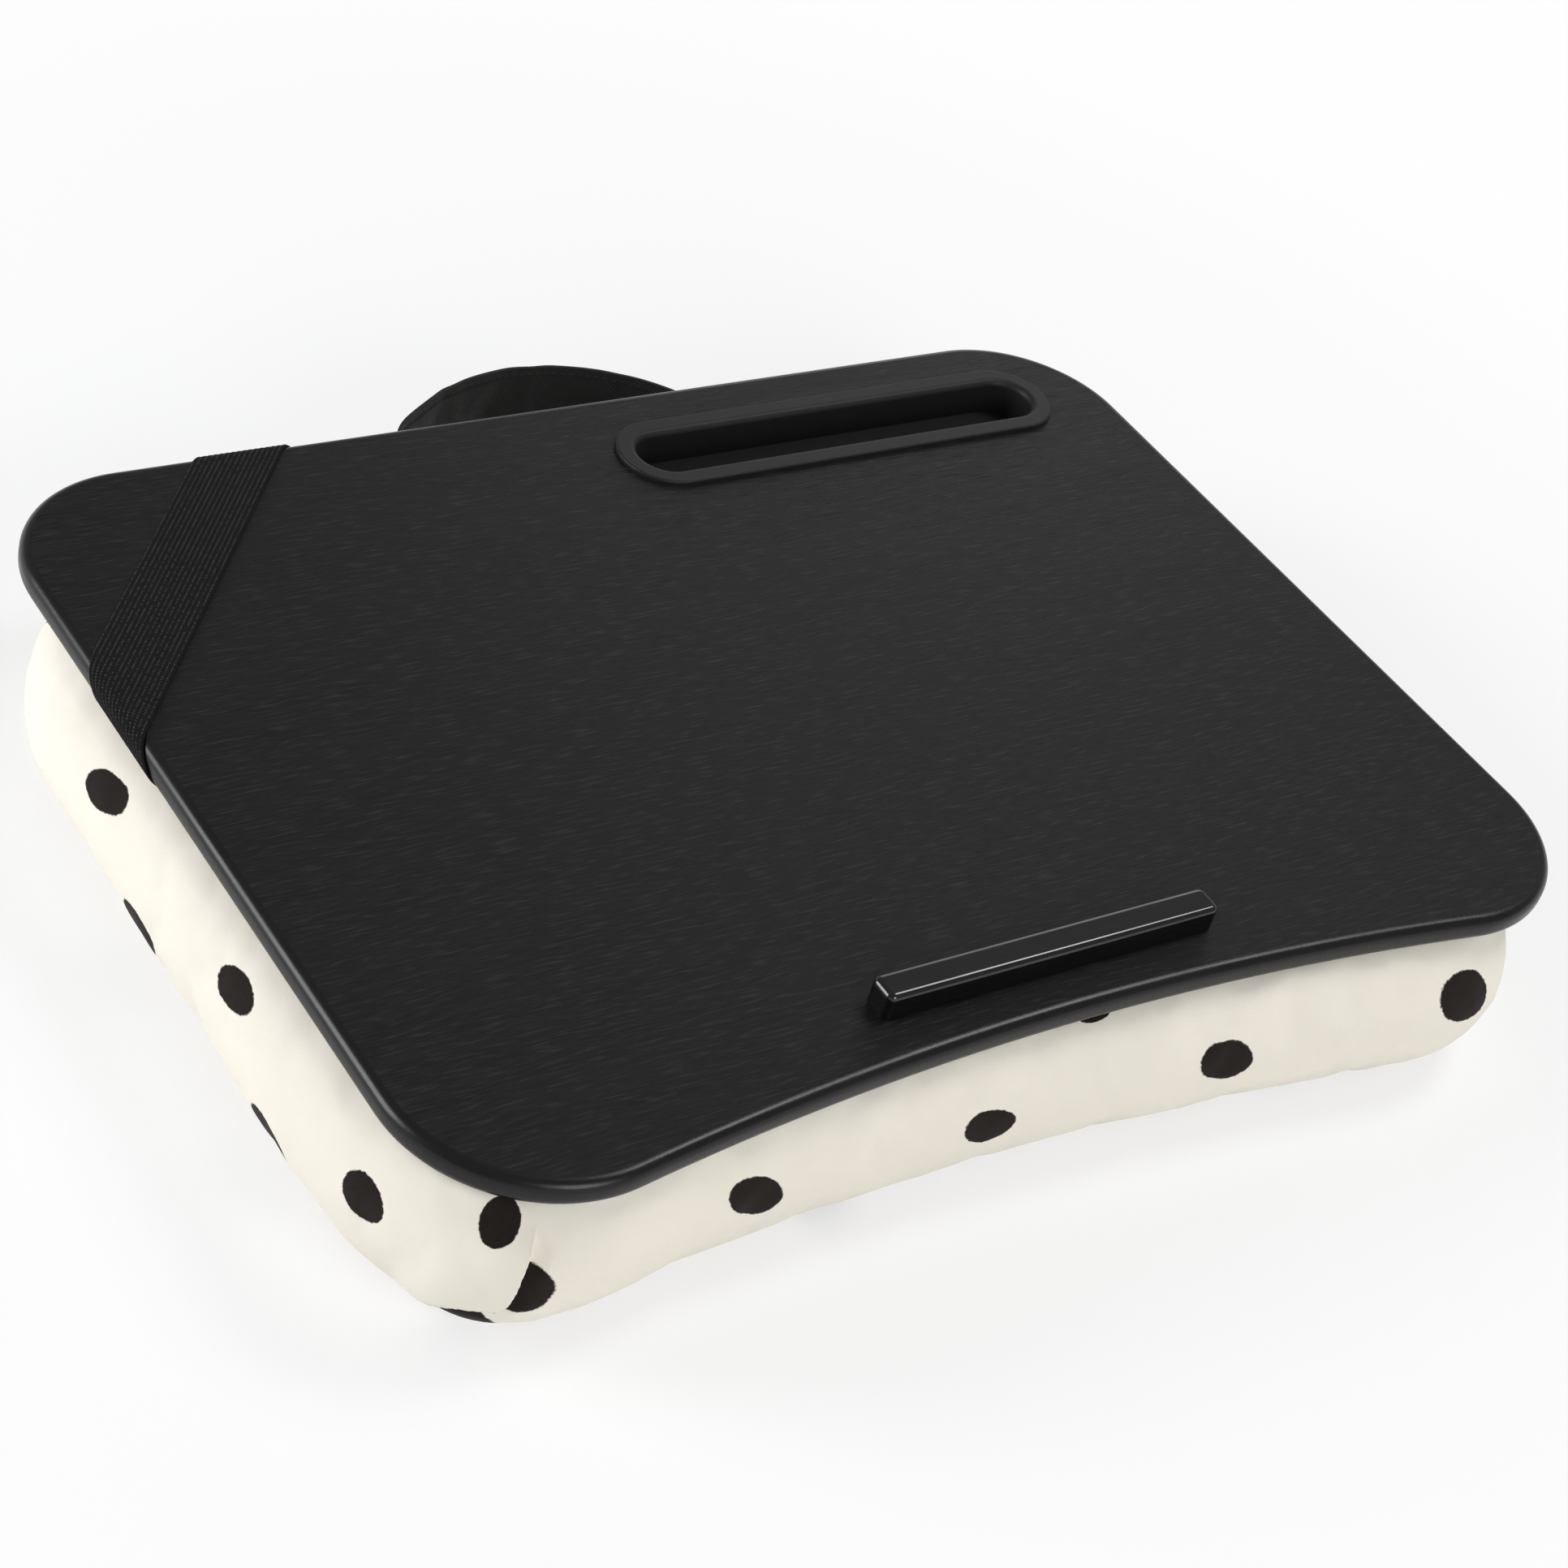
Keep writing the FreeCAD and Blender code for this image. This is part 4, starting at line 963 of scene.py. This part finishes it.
def on_handle(along, across):
    """Where a point of the flat band lies on the tray."""
    share, level = (along + 1) / 2, (across + 1) / 2
    x, y = along_band(share)
    ahead, behind = along_band(min(1, share + NEXT_SHARE)), along_band(max(0, share - NEXT_SHARE))
    run = Vector((ahead[0] - behind[0], ahead[1] - behind[1], 0)).normalized()
    out = Vector((-run.y, run.x, 0))
    z = BAND_LOW.z + BAND_HEIGHT * level
    loose = float(smooth_step(np.array(y), LOOSE_START, LOOSE_END))
    crease = 0.0
    for middle, width, depth, lean in CREASES:
        gap = (share * band_length - (middle * band_length + lean * (z - HINGE.z))) / (width * MM)
        crease += depth * MM * math.exp(-gap * gap) * (CREASE_ABOVE + CREASE_BELOW * (1 - level))
    crease += SLACK * math.exp(-((share - SLACK_SHARE) / SLACK_WIDTH) ** 2)
    hem = HEM_RISE if min(level, 1 - level) * BAND_HEIGHT < HEM else 0.0
    point = Vector((x, y, z)) + out * (loose * crease + hem)
    point.z += loose * (LIFT * (y - HINGE.y) + TOP_WAVE * math.sin(TOP_WAVE_RATE * share) * level)
    if loose < 1:
        hit, wall, _, _ = cushion.ray_cast(Vector((x, BEHIND, min(z, SHOULDER))), Vector((0, -1, 0)))
        if hit:
            point.y = loose * point.y + (1 - loose) * (wall.y + TAB_RISE + hem)
    return point


handle = cut_strip("handle_band", BAND_STEPS, BAND_ROWS, band_length, BAND_HEIGHT)
lay_strip(handle, on_handle)
outer = max(handle.data.polygons, key=lambda face: face.center.y)
if outer.normal.y < 0:
    handle.data.flip_normals()
apply_modifier(handle, "SOLIDIFY", thickness=BAND_THICKNESS, offset=-1)
bpy.ops.object.shade_smooth_by_angle(angle=CLOTH_CREASE)
print("handle:", len(handle.data.polygons), "faces")

# %% [markdown]
# ## The twill
# Twill is a diagonal weave: fine ridges that cross the band at a slant. The hems are stitched with the same
# black thread, which shows as a row of small dashes; they are raised in the bump and painted a little lighter
# than the band, a painted sheen on the thread.

# %% Twill finish
SEAM_FROM_HEM, STITCH_HALF, STITCH_FADE, STITCH_PITCH = 0.4 * MM, 0.15 * MM, 0.4 * MM, 3.2 * MM

twill = Finish("black_twill", Specular_IOR_Level=0.25, Sheen_Weight=0.04, Sheen_Roughness=0.5)
u, v, _ = twill.parts(twill.surface("cloth"))
spot = twill.place()
ridge = (u + v).wave(0.9 * MM)
cross = (u - 0.5 * v).wave(1.3 * MM)
lint = twill.noise(spot, 400.0, detail=3.0)
rub = twill.noise(spot, 40.0, detail=2.0)
from_middle = abs(v - BAND_HEIGHT / 2)
seam = 1 - abs(from_middle - (BAND_HEIGHT / 2 - HEM + SEAM_FROM_HEM)).ramp(STITCH_HALF, STITCH_FADE)
stitch_and_sheen = seam * u.wave(STITCH_PITCH).ramp(0.25, 0.45)
twill_tone = twill.mix(ridge * cross, grey(0.003), grey(0.02, 0.03))
twill_tone = twill.mix(0.35 * rub.ramp(0.5, 0.8), twill_tone, grey(0.025, 0.04))
# The stitches' lighter grey is a painted sheen on the raised thread, which is the same black as the band.
twill.feed(Base_Color=twill.mix(0.6 * stitch_and_sheen, twill_tone, grey(0.03)), Roughness=0.55 + 0.25 * lint)
twill.bump(ridge * 0.6 + cross * 0.4 + 1.5 * stitch_and_sheen, 0.0002, 0.5)
print("twill is ready")

wear(twill, handle)
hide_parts("carry_handle", "handle_left_tab", "handle_right_tab")
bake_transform(handle)
print("twill on", handle.name)

# %% [markdown]
# ## The studio
# The tray stands on a wide white floor under four soft lamps: the key above its right side draws the bright
# line on the ledge, a faint one behind gives the board its sheen, and the others light the left and front
# walls. A part of the floor's white comes from Light Path, less near the tray, where its shadow lies, and
# more further off, so that the picture's ground stays white without more light on the tray. The world does
# the same near the horizon, for low views.

# %% Floor
FLOOR_SIZE, FLOOR_DROP = 40, 0.0003
WHITE_NEAR, WHITE_GAIN, NEAR_RADIUS, FAR_RADIUS = 0.58, 0.38, 0.25, 0.7

bpy.ops.object.select_all(action="DESELECT")
bpy.ops.mesh.primitive_plane_add(size=FLOOR_SIZE, location=(0, 0, -FLOOR_DROP))
floor = bpy.context.object
floor.name = "floor"
bpy.ops.object.transform_apply()

sweep = Finish("white_sweep", Base_Color=(0.95, 0.95, 0.95, 1), Roughness=0.9, Specular_IOR_Level=0.0)
glow = sweep.node("Emission", sockets={"Color": (1, 1, 1, 1), "Strength": 1.0})
away = sweep.node("VectorMath", {"operation": "LENGTH"}, {0: sweep.place()}, out="Value")
whiteness = WHITE_NEAR + WHITE_GAIN * away.ramp(NEAR_RADIUS, FAR_RADIUS)
plain = Wire(sweep, sweep.shader.outputs[0])
sweep.end(sweep.node("MixShader", sockets={0: whiteness * sweep.seen_rays(), 1: plain, 2: glow}))
wear(sweep, floor)
print("floor is staged")

# %% Lamps
def soft_lamp(name, place, target, size, watts, colour=(1, 1, 1)):
    """A round lamp that looks at a target."""
    bpy.ops.object.light_add(type="AREA", location=place)
    lamp = bpy.context.object
    lamp.name = name
    lamp.data.shape = "DISK"
    lamp.data.size = size
    lamp.data.energy = watts
    lamp.data.color = colour
    lamp.rotation_euler = (Vector(target) - Vector(place)).to_track_quat("-Z", "Y").to_euler()


soft_lamp("key_lamp", (1.0, 0.0, 1.6), (0, 0, 0.05), 0.65, 10)
soft_lamp("back_lamp", (1.6, 1.7, 1.0), (0, 0, 0.05), 1.2, 4)
soft_lamp("left_lamp", (-1.5, 0.8, 0.65), (0, 0, 0.03), 1.0, 23, (0.97, 0.985, 1.0))
soft_lamp("front_lamp", (0.0, -1.55, 0.9), (0, 0, 0.03), 0.9, 12)
print("lamps are set")

# %% World
SKY, SKY_WHITE, HORIZON_LOW, HORIZON_HIGH = 0.3, 0.7, 0.08, 0.2

world = bpy.data.worlds.new("studio")
world.use_nodes = True
bpy.context.scene.world = world
sky = Net(world.node_tree)
rise = sky.node("SeparateXYZ", sockets={"Vector": sky.node("TexCoord", out="Generated")}, out="Z")
horizon = 1 - rise.ramp(HORIZON_LOW, HORIZON_HIGH)
strength = SKY + SKY_WHITE * horizon * sky.seen_rays()
sky.end(sky.node("Background", sockets={"Color": (1, 1, 1, 1), "Strength": strength}))
bpy.context.scene.view_settings.view_transform = "Standard"
print("world is set")
